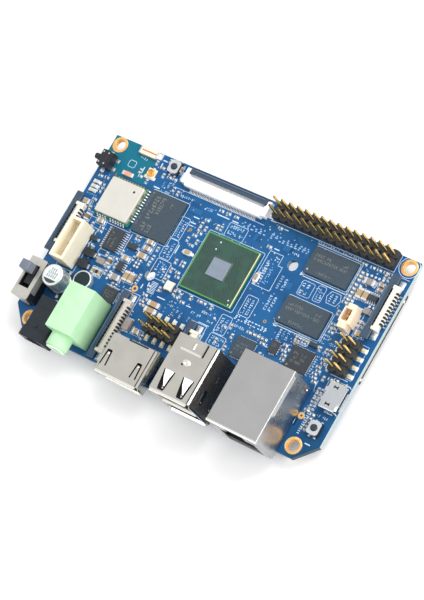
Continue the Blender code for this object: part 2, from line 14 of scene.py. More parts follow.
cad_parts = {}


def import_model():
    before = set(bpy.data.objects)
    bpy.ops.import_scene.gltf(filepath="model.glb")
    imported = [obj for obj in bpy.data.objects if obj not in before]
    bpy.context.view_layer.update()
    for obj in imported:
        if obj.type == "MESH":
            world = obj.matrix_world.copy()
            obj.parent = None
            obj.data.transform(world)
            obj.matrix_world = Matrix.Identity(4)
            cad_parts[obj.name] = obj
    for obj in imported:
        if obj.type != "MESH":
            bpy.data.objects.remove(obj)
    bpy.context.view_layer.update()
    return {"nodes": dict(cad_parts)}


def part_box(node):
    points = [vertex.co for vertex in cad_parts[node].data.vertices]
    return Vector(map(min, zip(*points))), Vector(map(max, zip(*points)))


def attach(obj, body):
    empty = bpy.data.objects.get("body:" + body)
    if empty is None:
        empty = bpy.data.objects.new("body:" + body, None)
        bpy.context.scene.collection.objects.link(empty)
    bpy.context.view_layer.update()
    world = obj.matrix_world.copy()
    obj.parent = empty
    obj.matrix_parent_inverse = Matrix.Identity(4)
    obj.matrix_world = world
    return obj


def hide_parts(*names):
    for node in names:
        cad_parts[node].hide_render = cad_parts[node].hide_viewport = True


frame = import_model()

MM = 0.001
PCB_LOW, PCB_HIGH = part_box("pcb")
ORIGIN = (PCB_LOW.x, PCB_LOW.y, PCB_HIGH.z)
UNDERSIDE = -(PCB_HIGH.z - PCB_LOW.z) / MM
X, Y, Z = range(3)

PIN_PITCH = 2.54
COOLER_HOLES = ((67.85, 45.9), (31.95, 27.65))


def node_box(node):
    """A CAD node's box in board millimetres: x0, x1, y0, y1, z0, z1."""
    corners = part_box(node)
    return tuple((corner[axis] - ORIGIN[axis]) / MM for axis in range(3) for corner in corners)


def world(axis, value):
    """A board coordinate in the scene's metres."""
    return value * MM + ORIGIN[axis]


# ================================================================ materials
def srgb(*levels):
    """Linear colour from 0-255 display levels."""
    return tuple(v / 255 / 12.92 if v / 255 <= 0.04045 else ((v / 255 + 0.055) / 1.055) ** 2.4
                 for v in levels)


class Shader:
    """A material and short ways to add nodes in front of its Principled surface."""

    def __init__(self, name):
        self.material = bpy.data.materials.new(name)
        self.material.use_nodes = True
        self.tree = self.material.node_tree
        self.surface = self.tree.nodes["Principled BSDF"]
        self.coordinates = self.tree.nodes.new("ShaderNodeTexCoord").outputs["Object"]

    def feed(self, socket, value):
        if isinstance(value, bpy.types.NodeSocket):
            self.tree.links.new(value, socket)
        else:
            socket.default_value = (*value[:3], 1.0) if socket.type == "RGBA" else value

    def set(self, name, value):
        self.feed(self.surface.inputs[name], value)

    def node(self, kind, inputs, **settings):
        node = self.tree.nodes.new("ShaderNode" + kind)
        for name, value in settings.items():
            setattr(node, name, value)
        for key, value in inputs.items():
            self.feed(node.inputs[key], value)
        return node.outputs

    def stretch(self, scale):
        return self.node("Mapping", {"Scale": scale, "Vector": self.coordinates})["Vector"]

    def noise(self, scale, vector=None, detail=3.0):
        return self.node("TexNoise", {"Scale": scale, "Detail": detail,
                                      "Vector": vector or self.coordinates})["Fac"]

    def remap(self, value, start, end, low=0.0, high=1.0):
        return self.node("MapRange", {"From Min": start, "From Max": end, "To Min": low,
                                      "To Max": high, "Value": value})["Result"]

    def mix(self, factor, first, second):
        # sockets 6 and 7 are the two colours, output 2 the mixed colour
        return self.node("Mix", {6: first, 7: second, 0: factor}, data_type="RGBA")[2]

    def math(self, operation, *values):
        return self.node("Math", dict(enumerate(values)), operation=operation)[0]

    def bump(self, height, strength, distance=0.00003):
        self.set("Normal", self.node("Bump", {"Strength": strength, "Distance": distance,
                                              "Height": height})["Normal"])

    def geometry(self, output):
        """Separate x, y and z of the surface's position or normal."""
        return self.node("SeparateXYZ", {0: self.node("NewGeometry", {})[output]})


def plain_material(name, rgb, rough, metal=0.0, drift=0.08, scale=500.0, bump=0.12, grain=5000.0,
                   rough_drift=0.07, specular=0.4, tint=None, transmission=0.0):
    """Colour drift, uneven polish and fine grain for a small moulded or plated part."""
    shader = Shader(name)
    base = srgb(*rgb)
    other = srgb(*tint) if tint else tuple(min(1.0, c * (1 + drift)) for c in base)
    shader.set("Base Color", shader.mix(shader.remap(shader.noise(scale), 0.3, 0.7),
                                        tuple(c * (1 - drift) for c in base), other))
    shader.set("Roughness", shader.remap(shader.noise(scale * 2.3), 0.3, 0.7,
                                         low=rough - rough_drift, high=rough + rough_drift))
    shader.bump(shader.noise(grain, detail=2.0), bump)
    shader.set("Metallic", metal)
    shader.set("Specular IOR Level", specular)
    if transmission:
        shader.set("Transmission Weight", transmission)
    return shader.material


def mint_material():
    """Green plastic, with painted shade that darkens it towards the board."""
    shader = Shader("jack_mint")
    height = shader.geometry("Position")[Z]
    base = shader.mix(shader.remap(shader.noise(260.0), 0.3, 0.7),
                      srgb(182, 228, 182), srgb(192, 236, 191))
    # painted shade: a darker green low down, fading out by 7.5 mm up
    rise = shader.remap(height, world(Z, 0.0), world(Z, 7.5))
    shader.set("Base Color", shader.mix(rise, srgb(124, 164, 126), base))
    shader.set("Roughness", shader.remap(shader.noise(700.0), 0.3, 0.7, low=0.4, high=0.5))
    shader.bump(shader.noise(6000.0, detail=2.0), 0.14)
    shader.set("Specular IOR Level", 0.3)
    return shader.material


def board_material():
    shader = Shader("solder_mask_blue")
    position = shader.geometry("Position")
    normal = shader.geometry("Normal")

    def fade(axis, start, end, low=0.0, high=1.0):
        return shader.remap(position[axis], world(axis, start), world(axis, end), low, high)

    def tone(colour, amount, strength, other):
        return shader.mix(shader.math("MULTIPLY", amount, strength), colour, srgb(*other))

    drift = shader.remap(shader.noise(90.0, detail=4.0), 0.35, 0.65)
    mask = shader.mix(drift, srgb(20, 80, 132), srgb(29, 93, 146))
    # copper pours under the mask read as flat patches, lighter or deeper
    patches = shader.node("TexVoronoi", {"Scale": 130.0, "Randomness": 0.8,
                                         "Vector": shader.coordinates})["Color"]
    patch = shader.node("SeparateColor", {0: patches})
    mask = tone(mask, shader.remap(patch[0], 0.72, 0.76), 0.16, (44, 112, 162))
    mask = tone(mask, shader.remap(patch[1], 0.78, 0.8), 0.4, (13, 66, 114))
    # the bare laminate in the aerial corner shows greener
    left = fade(X, 15.2, 15.5, low=1.0, high=0.0)
    high = fade(Y, 49.4, 50.0)
    mask = tone(mask, shader.math("MULTIPLY", left, high), 0.8, (12, 112, 126))
    # the south-east corner reads deeper
    right = fade(X, 82.0, 97.0)
    low = fade(Y, 2.0, 15.0, low=1.0, high=0.0)
    mask = tone(mask, shader.math("MULTIPLY", right, low), 0.75, (10, 62, 92))
    edge = shader.math("LESS_THAN", shader.math("ABSOLUTE", normal[Z]), 0.5)
    core = shader.mix(shader.remap(shader.noise(2500.0, shader.stretch((1, 1, 14))), 0.35, 0.65),
                      srgb(22, 50, 62), srgb(50, 84, 96))
    # painted light: the east cut edge gets a pale laminate colour, as if lit
    east = shader.math("GREATER_THAN", normal[X], 0.8)
    painted_lit_edge = shader.mix(shader.remap(shader.noise(1500.0, shader.stretch((1, 1, 10))), 0.3, 0.7),
                      srgb(158, 176, 174), srgb(180, 194, 190))
    core = shader.mix(east, core, painted_lit_edge)
    shader.set("Base Color", shader.mix(edge, mask, core))
    shader.set("Roughness", shader.remap(shader.noise(700.0), 0.3, 0.7, low=0.34, high=0.46))
    shader.set("Specular IOR Level", 0.22)
    shader.bump(shader.noise(1800.0), 0.12)
    return shader.material


def carrier_material(x0, x1, y0, y1):
    """Processor carrier: fine wavy lines under green mask, brighter towards the rim."""
    shader = Shader("processor_carrier")
    position = shader.geometry("Position")
    half = (x1 - x0) / 2 * MM
    away = [shader.math("ABSOLUTE", shader.math("SUBTRACT", position[axis], world(axis, centre)))
            for axis, centre in ((X, (x0 + x1) / 2), (Y, (y0 + y1) / 2))]
    rim = shader.remap(shader.math("MAXIMUM", *away), half - 0.42 * MM, half - 0.3 * MM)
    wave = shader.node("TexWave", {"Scale": 750.0, "Distortion": 9.0, "Detail": 3.0,
                                   "Detail Scale": 0.6, "Vector": shader.coordinates},
                       wave_type="BANDS", bands_direction="DIAGONAL")
    lines = shader.remap(wave["Fac"], 0.55, 0.8)
    areas = shader.remap(shader.noise(260.0, detail=2.0), 0.42, 0.6)
    inner = shader.mix(shader.math("MULTIPLY", lines, 0.5), srgb(50, 70, 64), srgb(60, 98, 84))
    inner = shader.mix(shader.math("MULTIPLY", areas, 0.45), inner, srgb(58, 96, 84))
    shader.set("Base Color", shader.mix(rim, inner, srgb(86, 150, 76)))
    shader.set("Roughness", shader.remap(shader.noise(900.0), 0.3, 0.7, low=0.3, high=0.42))
    shader.set("Specular IOR Level", 0.3)
    shader.bump(lines, 0.1, distance=0.00001)
    return shader.material


def steel_material(name, rgb, rough, brush=(1, 60, 1), drift=0.05):
    """Brushed sheet metal; brush squeezes the noise along each axis."""
    shader = Shader(name)
    base = srgb(*rgb)
    vector = shader.stretch(brush)
    shader.set("Base Color", shader.mix(shader.remap(shader.noise(160.0), 0.35, 0.65),
                                        tuple(c * (1 - drift) for c in base),
                                        tuple(min(1, c * (1 + drift)) for c in base)))
    shader.set("Roughness", shader.remap(shader.noise(350.0, vector, detail=4.0), 0.3, 0.7,
                                         low=rough - 0.05, high=rough + 0.05))
    shader.bump(shader.noise(600.0, vector), 0.05, distance=0.00002)
    shader.set("Metallic", 1.0)
    return shader.material


MATERIALS = {
    "board": board_material(),
    "steel": steel_material("nickel_shell", (209, 207, 199), rough=0.17),
    # paler copies of the shell steel: painted highlights, the first one softer
    "steel_mid": steel_material("nickel_painted_soft_highlight", (228, 228, 226), rough=0.18),
    "steel_highlight": steel_material("nickel_painted_highlight", (250, 248, 242), rough=0.2),
    "steel_grey": steel_material("tinned_shell", (186, 187, 186), rough=0.3, brush=(60, 1, 1),
                                 drift=0.03),
    "steel_blue": steel_material("tinned_micro_shell", (214, 219, 224), rough=0.17),
    "mint": mint_material(),
}
# name, colour, roughness, metallic, colour drift, drift scale, bump, grain scale,
# roughness drift, specular, drift colour, transmission; missing ones take the defaults
PLAIN_MATERIALS = {
    "shield": ("shield_nickel", (216, 214, 205), 0.42, 0.35, 0.03, 300, 0.1, 3000, 0.08, 0.5),
    "frame_metal": ("switch_frame_tin", (200, 198, 190), 0.35, 0.6, 0.06, 700, 0.1, 2500),
    "tin": ("solder_tin", (232, 234, 238), 0.28, 0.75, 0.08, 1800, 0.25, 3500, 0.1, 0.6),
    "lead": ("tinned_lead", (214, 216, 220), 0.3, 0.85, 0.07, 1500, 0.15, 3500),
    "gold": ("plated_gold", (246, 204, 138), 0.3, 0.5, 0.06, 700, 0.1, 3000, 0.08, 0.5,
             (240, 182, 104)),
    "gold_pin": ("pin_gold", (214, 178, 104), 0.2, 0.95, 0.05, 900, 0.0, 3500, 0.05),
    # a paler gold for painted highlights on the pins
    "gold_highlight": ("pin_gold_painted_highlight", (255, 226, 142), 0.3, 0.35, 0.05, 900, 0.04, 3500, 0.06,
                  0.5),
    "strip": ("header_black", (49, 51, 55), 0.5, 0.0, 0.12, 600, 0.2, 6000, 0.08, 0.35),
    "black": ("moulded_black", (40, 42, 48), 0.46, 0.0, 0.1, 500, 0.2, 6000, 0.08, 0.35),
    "jack_black": ("jack_black", (34, 41, 49), 0.5, 0.0, 0.08, 500, 0.22, 6500, 0.08, 0.35),
    "felt": ("felt_black", (46, 56, 60), 0.95, 0.0, 0.35, 4200, 0.9, 9000, 0.04, 0.1),
    "alu_top": ("can_vent_top", (232, 241, 240), 0.5, 0.3, 0.03, 400, 0.1, 5000),
    "steel_in_shade": ("shell_in_shade", (96, 92, 88), 0.3, 0.6, 0.1, 500, 0.1, 4000),
    "tact": ("button_frame_steel", (216, 220, 224), 0.34, 0.7, 0.05, 500, 0.1, 4000),
    "tact_cap": ("button_slate", (44, 56, 70), 0.45, 0.0, 0.06, 600, 0.15, 6000),
    "cap_small": ("ceramic_small", (132, 120, 110), 0.5, 0.0, 0.14, 1500, 0.2, 6000),
    "cap_small_dark": ("ceramic_small_dark", (78, 76, 78), 0.5, 0.0, 0.14, 1500, 0.2, 6000),
    # lighter and darker copies of the lock slate: painted highlight and painted shade
    "slate_highlight": ("lock_slate_painted_highlight", (90, 116, 140), 0.38, 0.0, 0.05, 500, 0.12, 5000),
    "slate_shade": ("slate_painted_shade", (26, 34, 44), 0.5, 0.0, 0.05, 500, 0.12, 5000),
    # a darker copy of the cable housing plastic: painted shade
    "fpc_grey": ("cable_housing_painted_shade", (203, 194, 188), 0.42, 0.0, 0.03, 400, 0.12, 6000),
    "pad_white": ("solder_pad", (226, 232, 236), 0.4, 0.2, 0.06, 900, 0.15, 5000),
    "mint_ring": ("mint_ring", (224, 250, 222), 0.36, 0.0, 0.03, 400, 0.1, 6000, 0.06, 0.4),
    "cream": ("nylon_cream", (253, 246, 228), 0.44, 0.0, 0.02, 300, 0.14, 6000, 0.07, 0.4,
              (250, 238, 208)),
    # a brighter cream that glows, for the floors of the wells: painted light
    "cream_in": ("nylon_cream_painted_glow", (252, 236, 190), 0.5, 0.0, 0.05, 400, 0.14, 6000, 0.07,
                 0.35),
    "peach": ("nylon_peach.001", (248, 226, 198), 0.44, 0.0, 0.03, 300, 0.14, 6000),
    "white": ("polymer_white", (246, 242, 232), 0.46, 0.0, 0.03, 500, 0.15, 6000, 0.06, 0.35),
    "fpc": ("cable_housing", (234, 230, 216), 0.42, 0.0, 0.03, 400, 0.12, 6000, 0.06, 0.4),
    "fpc_white": ("cable_housing_white", (250, 251, 253), 0.42, 0.0, 0.03, 400, 0.12, 6000, 0.06,
                  0.4),
    "copper": ("bent_copper", (170, 104, 62), 0.4, 0.5, 0.1, 900, 0.1, 4000),
    "knob": ("switch_grey", (122, 129, 142), 0.5, 0.0, 0.08, 600, 0.2, 6000, 0.07, 0.35),
    "lock": ("lock_slate", (58, 76, 96), 0.38, 0.0, 0.07, 600, 0.15, 6000, 0.07, 0.4),
    "chip": ("chip_epoxy", (62, 76, 87), 0.56, 0.0, 0.07, 900, 0.3, 9000, 0.06, 0.3),
    "chip_dark": ("chip_epoxy_dark", (56, 63, 69), 0.52, 0.0, 0.08, 900, 0.3, 9000, 0.06, 0.3),
    "mark": ("laser_mark", (124, 124, 118), 0.7, 0.0, 0.2, 3000, 0.1, 9000, 0.05, 0.2),
    "silk_soft": ("legend_thin", (112, 158, 198), 0.55, 0.0, 0.12, 1500, 0.1, 6000),
    "silk": ("legend_white", (202, 222, 240), 0.6, 0.0, 0.05, 1500, 0.15, 8000, 0.05, 0.25),
    "silk_dim": ("legend_faded", (150, 186, 222), 0.6, 0.0, 0.12, 2500, 0.15, 8000, 0.05, 0.25),
    "trace": ("covered_copper", (36, 96, 150), 0.4, 0.0, 0.06, 400, 0.1, 5000, 0.05, 0.25),
    "die": ("bare_silicon", (138, 150, 166), 0.3, 0.35, 0.05, 700, 0.1, 9000, 0.05, 0.5),
    "rim": ("carrier_rim", (226, 214, 170), 0.5, 0.0, 0.06, 900, 0.1, 6000),
    "alu": ("can_aluminium", (236, 242, 242), 0.36, 0.85, 0.05, 500, 0.08, 3000, 0.06),
    "alu_dark": ("can_mark_grey", (78, 80, 86), 0.4, 0.3, 0.1, 900, 0.1, 4000),
    "cap_tan": ("ceramic_tan", (172, 148, 116), 0.5, 0.0, 0.1, 1500, 0.2, 6000, 0.06, 0.35),
    "cap_brown": ("ceramic_brown", (128, 108, 84), 0.5, 0.0, 0.12, 1500, 0.2, 6000, 0.06, 0.35),
    "cap_grey": ("ceramic_grey", (150, 142, 138), 0.5, 0.0, 0.1, 1500, 0.2, 6000, 0.06, 0.35),
    "res": ("resistor_black", (36, 38, 46), 0.4, 0.0, 0.15, 1500, 0.2, 6000, 0.06, 0.4),
    "led": ("led_cream", (196, 198, 178), 0.35, 0.0, 0.05, 1500, 0.1, 6000, 0.06, 0.4),
    "orange": ("ceramic_orange", (224, 158, 130), 0.45, 0.0, 0.08, 1500, 0.2, 6000, 0.06, 0.35),
    "red": ("aerial_red", (206, 108, 84), 0.5, 0.0, 0.1, 1500, 0.2, 6000, 0.06, 0.35),
    "ivory": ("ceramic_ivory", (246, 226, 204), 0.45, 0.0, 0.04, 1500, 0.2, 6000, 0.06, 0.35),
    "guide": ("light_guide", (214, 216, 212), 0.25, 0.0, 0.05, 900, 0.08, 4000, 0.05, 0.5, None,
              0.5),
    "ball": ("solder_ball", (150, 154, 160), 0.35, 0.8, 0.1, 1500, 0.2, 4000),
    "underfill": ("underfill_resin", (62, 84, 78), 0.35, 0, 0.06, 900, 0.1, 5000),
    "laminate": ("module_laminate", (34, 112, 96), 0.42, 0, 0.08, 700, 0.1, 5000),
}
for key, values in PLAIN_MATERIALS.items():
    MATERIALS[key] = plain_material(*values)

# painted light: the floors of the pale housings take a brighter cream and glow a little, though no
# lamp lights them
glow = MATERIALS["cream_in"].node_tree.nodes["Principled BSDF"].inputs
glow["Emission Color"].default_value = (1.0, 0.82, 0.5, 1)
glow["Emission Strength"].default_value = 0.22


# ================================================================ outlines
def rect(x0, x1, y0, y1, cut=0.0):
    """Rectangle, with its corners cut off if asked."""
    if cut <= 0:
        return [(x0, y0), (x1, y0), (x1, y1), (x0, y1)]
    return [(x0 + cut, y0), (x1 - cut, y0), (x1, y0 + cut), (x1, y1 - cut),
            (x1 - cut, y1), (x0 + cut, y1), (x0, y1 - cut), (x0, y0 + cut)]


def square(x, y, half, cut=0.0):
    return rect(x - half, x + half, y - half, y + half, cut)


def rounded(x0, x1, y0, y1, radius, steps=4):
    points = []
    for cx, cy, start in ((x1 - radius, y1 - radius, 0), (x0 + radius, y1 - radius, 90),
                          (x0 + radius, y0 + radius, 180), (x1 - radius, y0 + radius, 270)):
        for i in range(steps + 1):
            angle = math.radians(start + 90 * i / steps)
            points.append((cx + radius * math.cos(angle), cy + radius * math.sin(angle)))
    return points


def ellipse(cx, cy, radius_x, radius_y, sides):
    angles = [2 * math.pi * i / sides for i in range(sides)]
    return [(cx + radius_x * math.cos(a), cy + radius_y * math.sin(a)) for a in angles]


def circle(cx, cy, radius, sides):
    return ellipse(cx, cy, radius, radius, sides)


def area(points):
    return 0.5 * sum(a[0] * b[1] - b[0] * a[1] for a, b in zip(points, points[1:] + points[:1]))


def left_normal(direction):
    unit = direction.normalized()
    return Vector((-unit.y, unit.x))


def inset(points, distance):
    """Outline moved inwards along its corners' mitres."""
    sign = 1 if area(points) > 0 else -1
    moved = []
    for i, here in enumerate(points):
        point = Vector(here)
        before = left_normal(point - Vector(points[i - 1])) * sign
        after = left_normal(Vector(points[(i + 1) % len(points)]) - point) * sign
        spread = 1 + before.dot(after)
        offset = (before + after) / spread if spread > 0.2 else before
        moved.append((point.x + offset.x * distance, point.y + offset.y * distance))
    return moved


# ================================================================ pieces
class Piece:
    """One visible object, built up from closed shapes inside a with block.

    Shapes take spans as (from, to) numbers. An outline pushed along z is (x, y), along x is
    (y, z) and along y is (x, z).
    """

    def __init__(self, name, replaces=None, slot=None, body="board", sharp=32):
        self.name, self.replaces, self.slot = name, replaces, slot
        self.body, self.sharp = body, sharp
        self.vertices, self.faces, self.face_slots, self.materials = [], [], [], []
        self.place()

    def __enter__(self):
        return self

    def __exit__(self, *error):
        self.finish()

    def place(self, x=0.0, y=0.0, turn=0.0):
        """Set the origin and turn, in degrees, of the shapes that follow."""
        self.origin = (x, y)
        self.turn = (math.cos(math.radians(turn)), math.sin(math.radians(turn)))

    def add(self, vertices, faces, material):
        if material not in self.materials:
            self.materials.append(material)
        base = len(self.vertices)
        cos, sin = self.turn
        ox, oy = self.origin
        self.vertices.extend((x * cos - y * sin + ox, x * sin + y * cos + oy, z)
                             for x, y, z in vertices)
        self.faces.extend(tuple(i + base for i in face) for face in faces)
        self.face_slots.extend([self.materials.index(material)] * len(faces))

    @staticmethod
    def point(flat, along, axis):
        if axis == "z":
            return (flat[0], flat[1], along)
        return (along, flat[0], flat[1]) if axis == "x" else (flat[0], along, flat[1])

    def loft(self, loops, material, axis="z"):
        """Closed solid through (outline, place) pairs along an axis."""
        n = len(loops[0][0])
        vertices = [self.point(p, along, axis) for outline, along in loops for p in outline]
        faces = [tuple(range(n))[::-1]]
        for k in range(len(loops) - 1):
            o = k * n
            faces += [(o + i, o + (i + 1) % n, o + n + (i + 1) % n, o + n + i) for i in range(n)]
        faces.append(tuple(range((len(loops) - 1) * n, len(loops) * n)))
        if ((area(loops[0][0]) < 0) != (loops[-1][1] < loops[0][1])) != (axis == "y"):
            faces = [face[::-1] for face in faces]
        self.add(vertices, faces, material)

    def prism(self, outline, start, end, material, axis="z", bevel=0.0, foot=0.0):
        """Outline pushed along an axis; bevel chamfers its far end and foot its near end."""
        start, end = sorted((start, end))
        loops = [(inset(outline, foot), start)] if foot else []
        loops.append((outline, start + foot))
        if bevel:
            loops.append((outline, end - bevel))
            loops.append((inset(outline, bevel), end))
        else:
            loops.append((outline, end))
        self.loft(loops, material, axis)

    def box(self, x0, x1, y0, y1, z0, z1, material, bevel=0.0, foot=0.0):
        x0, x1 = sorted((x0, x1))
        y0, y1 = sorted((y0, y1))
        self.prism(rect(x0, x1, y0, y1, bevel * 0.8), z0, z1, material, "z", bevel, foot)

    def plate(self, outer, holes, start, end, material, axis="z"):
        """Flat sheet with holes, pushed along an axis."""
        start, end = sorted((start, end))
        loops = [outer if area(outer) > 0 else outer[::-1]]
        loops += [hole if area(hole) < 0 else hole[::-1] for hole in holes]
        flat = [p for loop in loops for p in loop]
        triangles = tessellate_polygon([[Vector((p[0], p[1], 0)) for p in loop] for loop in loops])
        n = len(flat)
        vertices = [self.point(p, along, axis) for along in (start, end) for p in flat]
        faces = []
        for tri in triangles:
            a, b, c = (flat[i] for i in tri)
            if (b[0] - a[0]) * (c[1] - a[1]) - (b[1] - a[1]) * (c[0] - a[0]) < 0:
                tri = (tri[0], tri[2], tri[1])
            faces += [(tri[2], tri[1], tri[0]), (tri[0] + n, tri[1] + n, tri[2] + n)]
        o = 0
        for loop in loops:
            k = len(loop)
            faces += [(o + i, o + (i + 1) % k, o + (i + 1) % k + n, o + i + n) for i in range(k)]
            o += k
        if axis == "y":
            faces = [face[::-1] for face in faces]
        self.add(vertices, faces, material)

    def lathe(self, centre, profile, sides, material, axis="z"):
        """Turned solid. Its (radius, place) profile has both ends on the axis or is closed."""
        vertices, rows = [], []
        for radius, along in profile:
            ring = [centre] if radius <= 1e-9 else circle(*centre, radius, sides)
            rows.append(list(range(len(vertices), len(vertices) + len(ring))))
            vertices += [self.point(p, along, axis) for p in ring]
        faces = []
        for k in range(len(rows) - (1 if profile[0][0] <= 1e-9 else 0)):
            a, b = rows[k], rows[(k + 1) % len(rows)]
            for i in range(sides):
                j = (i + 1) % sides
                corners = (a[i % len(a)], a[j % len(a)], b[j % len(b)], b[i % len(b)])
                face = tuple(dict.fromkeys(corners))
                if len(face) > 2:
                    faces.append(face)
        # a negative volume means that the faces look inwards
        volume = 0.0
        for face in faces:
            first = Vector(vertices[face[0]])
            for i in range(1, len(face) - 1):
                volume += first.dot(Vector(vertices[face[i]]).cross(Vector(vertices[face[i + 1]])))
        if volume < 0:
            faces = [face[::-1] for face in faces]
        self.add(vertices, faces, material)

    def disc(self, x, y, radius, start, end, material, sides=14, axis="z"):
        self.lathe((x, y), [(0, start), (radius, start), (radius, end), (0, end)], sides, material,
                   axis)

    def ring(self, x, y, outer, inner, z0, z1, material, sides):
        self.lathe((x, y), [(inner, z0), (outer, z0), (outer, z1), (inner, z1)], sides, material)

    def line(self, points, width, z0, z1, material, closed=False):
        """Printed or etched line with mitred corners."""
        n = len(points)
        left, right = [], []
        for i in range(n):
            point = Vector(points[i])
            before = point - Vector(points[i - 1])
            after = Vector(points[(i + 1) % n]) - point
            if not closed and i == 0:
                before = after
            if not closed and i == n - 1:
                after = before
            before, after = left_normal(before), left_normal(after)
            offset = (before + after) / max(0.4, 1 + before.dot(after)) * (width / 2)
            left.append((point.x + offset.x, point.y + offset.y))
            right.append((point.x - offset.x, point.y - offset.y))
        vertices = [(x, y, z) for z in (z0, z1) for side in (left, right) for x, y in side]
        low_l, low_r, top_l, top_r = 0, n, 2 * n, 3 * n
        faces = []
        for i in range(n if closed else n - 1):
            j = (i + 1) % n
            faces += [(top_r + i, top_r + j, top_l + j, top_l + i),
                      (low_l + i, low_l + j, low_r + j, low_r + i),
                      (top_l + i, top_l + j, low_l + j, low_l + i),
                      (low_r + i, low_r + j, top_r + j, top_r + i)]
        if not closed:
            e = n - 1
            faces += [(low_l, low_r, top_r, top_l), (top_l + e, top_r + e, low_r + e, low_l + e)]
        self.add(vertices, faces, material)

    def finish(self):
        mesh = bpy.data.meshes.new(self.name)
        mesh.from_pydata([tuple(world(axis, v[axis]) for axis in range(3))
                          for v in self.vertices], [], self.faces)
        for material in self.materials:
            mesh.materials.append(MATERIALS[material])
        mesh.polygons.foreach_set("material_index", self.face_slots)
        mesh.validate()
        mesh.shade_smooth()
        mesh.set_sharp_from_angle(angle=math.radians(self.sharp))
        ob = bpy.data.objects.new(self.name, mesh)
        bpy.context.scene.collection.objects.link(ob)
        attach(ob, self.body)
        if self.replaces:
            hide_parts(self.replaces)


def keep(node, material):
    """A CAD node that stays, in a finished material."""
    materials = frame["nodes"][node].data.materials
    materials.clear()
    materials.append(MATERIALS[material])


# ---- small repeated shapes
# length, width, height, terminal, body material, printed frame's length and width
CHIP_KINDS = {
    "c": (1.0, 0.5, 0.45, 0.3, "cap_small", (1.55, 0.92)),
    "r": (1.0, 0.5, 0.33, 0.3, "res", (1.55, 0.92)),
    "k": (1.0, 0.5, 0.45, 0.3, "cap_small_dark", (1.55, 0.92)),
    "C": (1.6, 0.8, 0.75, 0.34, "cap_tan", (2.7, 1.35)),
    "R": (1.6, 0.8, 0.45, 0.32, "res", (2.7, 1.35)),
    "B": (2.0, 1.25, 0.9, 0.5, "cap_tan", (3.4, 1.9)),
    "D": (2.0, 1.25, 0.9, 0.5, "cap_brown", (3.4, 1.9)),
    "G": (3.0, 1.7, 1.2, 0.65, "cap_grey", None),
    "L": (2.0, 0.95, 0.55, 0.5, "led", None),
    "T": (2.8, 1.5, 1.1, 0.6, "cap_tan", None),
}


def chip_part(part, x, y, turn, kind):
    """A two-terminal part with its pads and solder fillets."""
    length, width, height, terminal, material, _ = CHIP_KINDS[kind]
    part.place(x, y, turn)
    end, half = length / 2, width / 2
    pad = min(0.3, 0.22 * length)
    for s in (-1, 1):
        part.box(s * (end - terminal * 0.9), s * (end + pad), -half - 0.06, half + 0.06,
                 0.0, 0.045, "tin")
        fillet = [(s * (end - 0.02), 0.04), (s * (end + pad * 0.85), 0.04),
                  (s * (end + pad * 0.25), 0.28 * height), (s * (end - 0.02), 0.72 * height)]
        part.prism(fillet[::s], -half + 0.02, half - 0.02, "tin", axis="y")
        part.box(s * (end - terminal), s * end, -half - 0.01, half + 0.01, 0.03, height + 0.01,
                 "tin", 0.05)
    part.box(-end + terminal * 0.8, end - terminal * 0.8, -half, half, 0.05, height, material, 0.03)
    part.place()


def bent_lead(part, x, y, turn, width=0.22, reach=0.95, height=0.55):
    """A lead that leaves a body at a height and bends down to land on a pad."""
    thick = 0.11
    part.place(x, y, turn)
    part.box(reach * 0.4, reach + 0.18, -width / 2 - 0.06, width / 2 + 0.06, 0.0, 0.04, "tin")
    part.prism([(-0.05, height - thick), (0.24 * reach, height - thick), (0.44 * reach, 0.04),
                (reach, 0.04), (reach, 0.04 + thick), (0.55 * reach, 0.04 + thick),
                (0.33 * reach, height), (-0.05, height)], -width / 2, width / 2, "lead", axis="y")
    part.place()


def marks(part, x, y, width, height, count, material, z, seed, upright=False, density=0.8):
    """Dash clusters the size of small print; they are not characters and spell nothing."""
    draw = random.Random(seed)
    step = (height if upright else width) / count
    tall = width if upright else height
    for i in range(count):
        if draw.random() > density:
            continue
        along, cell = i * step, step * 0.68
        for low, high in ((0.0, 0.24), (0.38, 0.62), (0.76, 1.0)):
            if draw.random() < 0.18:
                continue
            start = draw.choice((0.0, 0.0, 0.3)) * cell
            end = min(start + draw.choice((0.5, 0.7, 1.0)) * cell, cell)
            if upright:
                part.box(x + low * tall, x + high * tall, y + along + start, y + along + end,
                         z, z + 0.012, material)
            else:
                part.box(x + along + start, x + along + end, y + low * tall, y + high * tall,
                         z, z + 0.012, material)


def balls(part, x0, x1, y0, y1, top, pitch, radius):
    """The outer two rows of a ball grid."""
    nx, ny = int((x1 - x0 - 0.8) / pitch), int((y1 - y0 - 0.8) / pitch)
    left, low = (x0 + x1 - nx * pitch) / 2, (y0 + y1 - ny * pitch) / 2
    for i in range(nx + 1):
        for j in range(ny + 1):
            if 1 < i < nx - 1 and 1 < j < ny - 1:
                continue
            part.lathe((left + i * pitch, low + j * pitch),
                       [(0, 0.01), (radius * 0.7, 0.01), (radius, top * 0.5),
                        (radius * 0.7, top + 0.01), (0, top + 0.01)], 8, "ball")


# ================================================================ board
keep("pcb", "board")
for tag in ("nw", "ne", "se", "sw"):
    node = "mount_hole_plating_" + tag
    x0, x1, y0, y1, z0, z1 = node_box(node)
    bore, outer = 1.55, (x1 - x0) / 2
    with Piece("plated_hole_" + tag, node, "gold_plating") as part:
        part.lathe(((x0 + x1) / 2, (y0 + y1) / 2),
                   [(bore + 0.1, z1), (bore, z1 - 0.14), (bore, z0 + 0.14), (bore + 0.1, z0),
                    (outer - 0.05, z0), (outer, z0 + 0.03), (outer, z0 + 0.1),
                    (bore + 0.13, z0 + 0.1), (bore + 0.13, z1 - 0.1), (outer, z1 - 0.1),
                    (outer, z1 - 0.03), (outer - 0.05, z1)], 48, "gold")

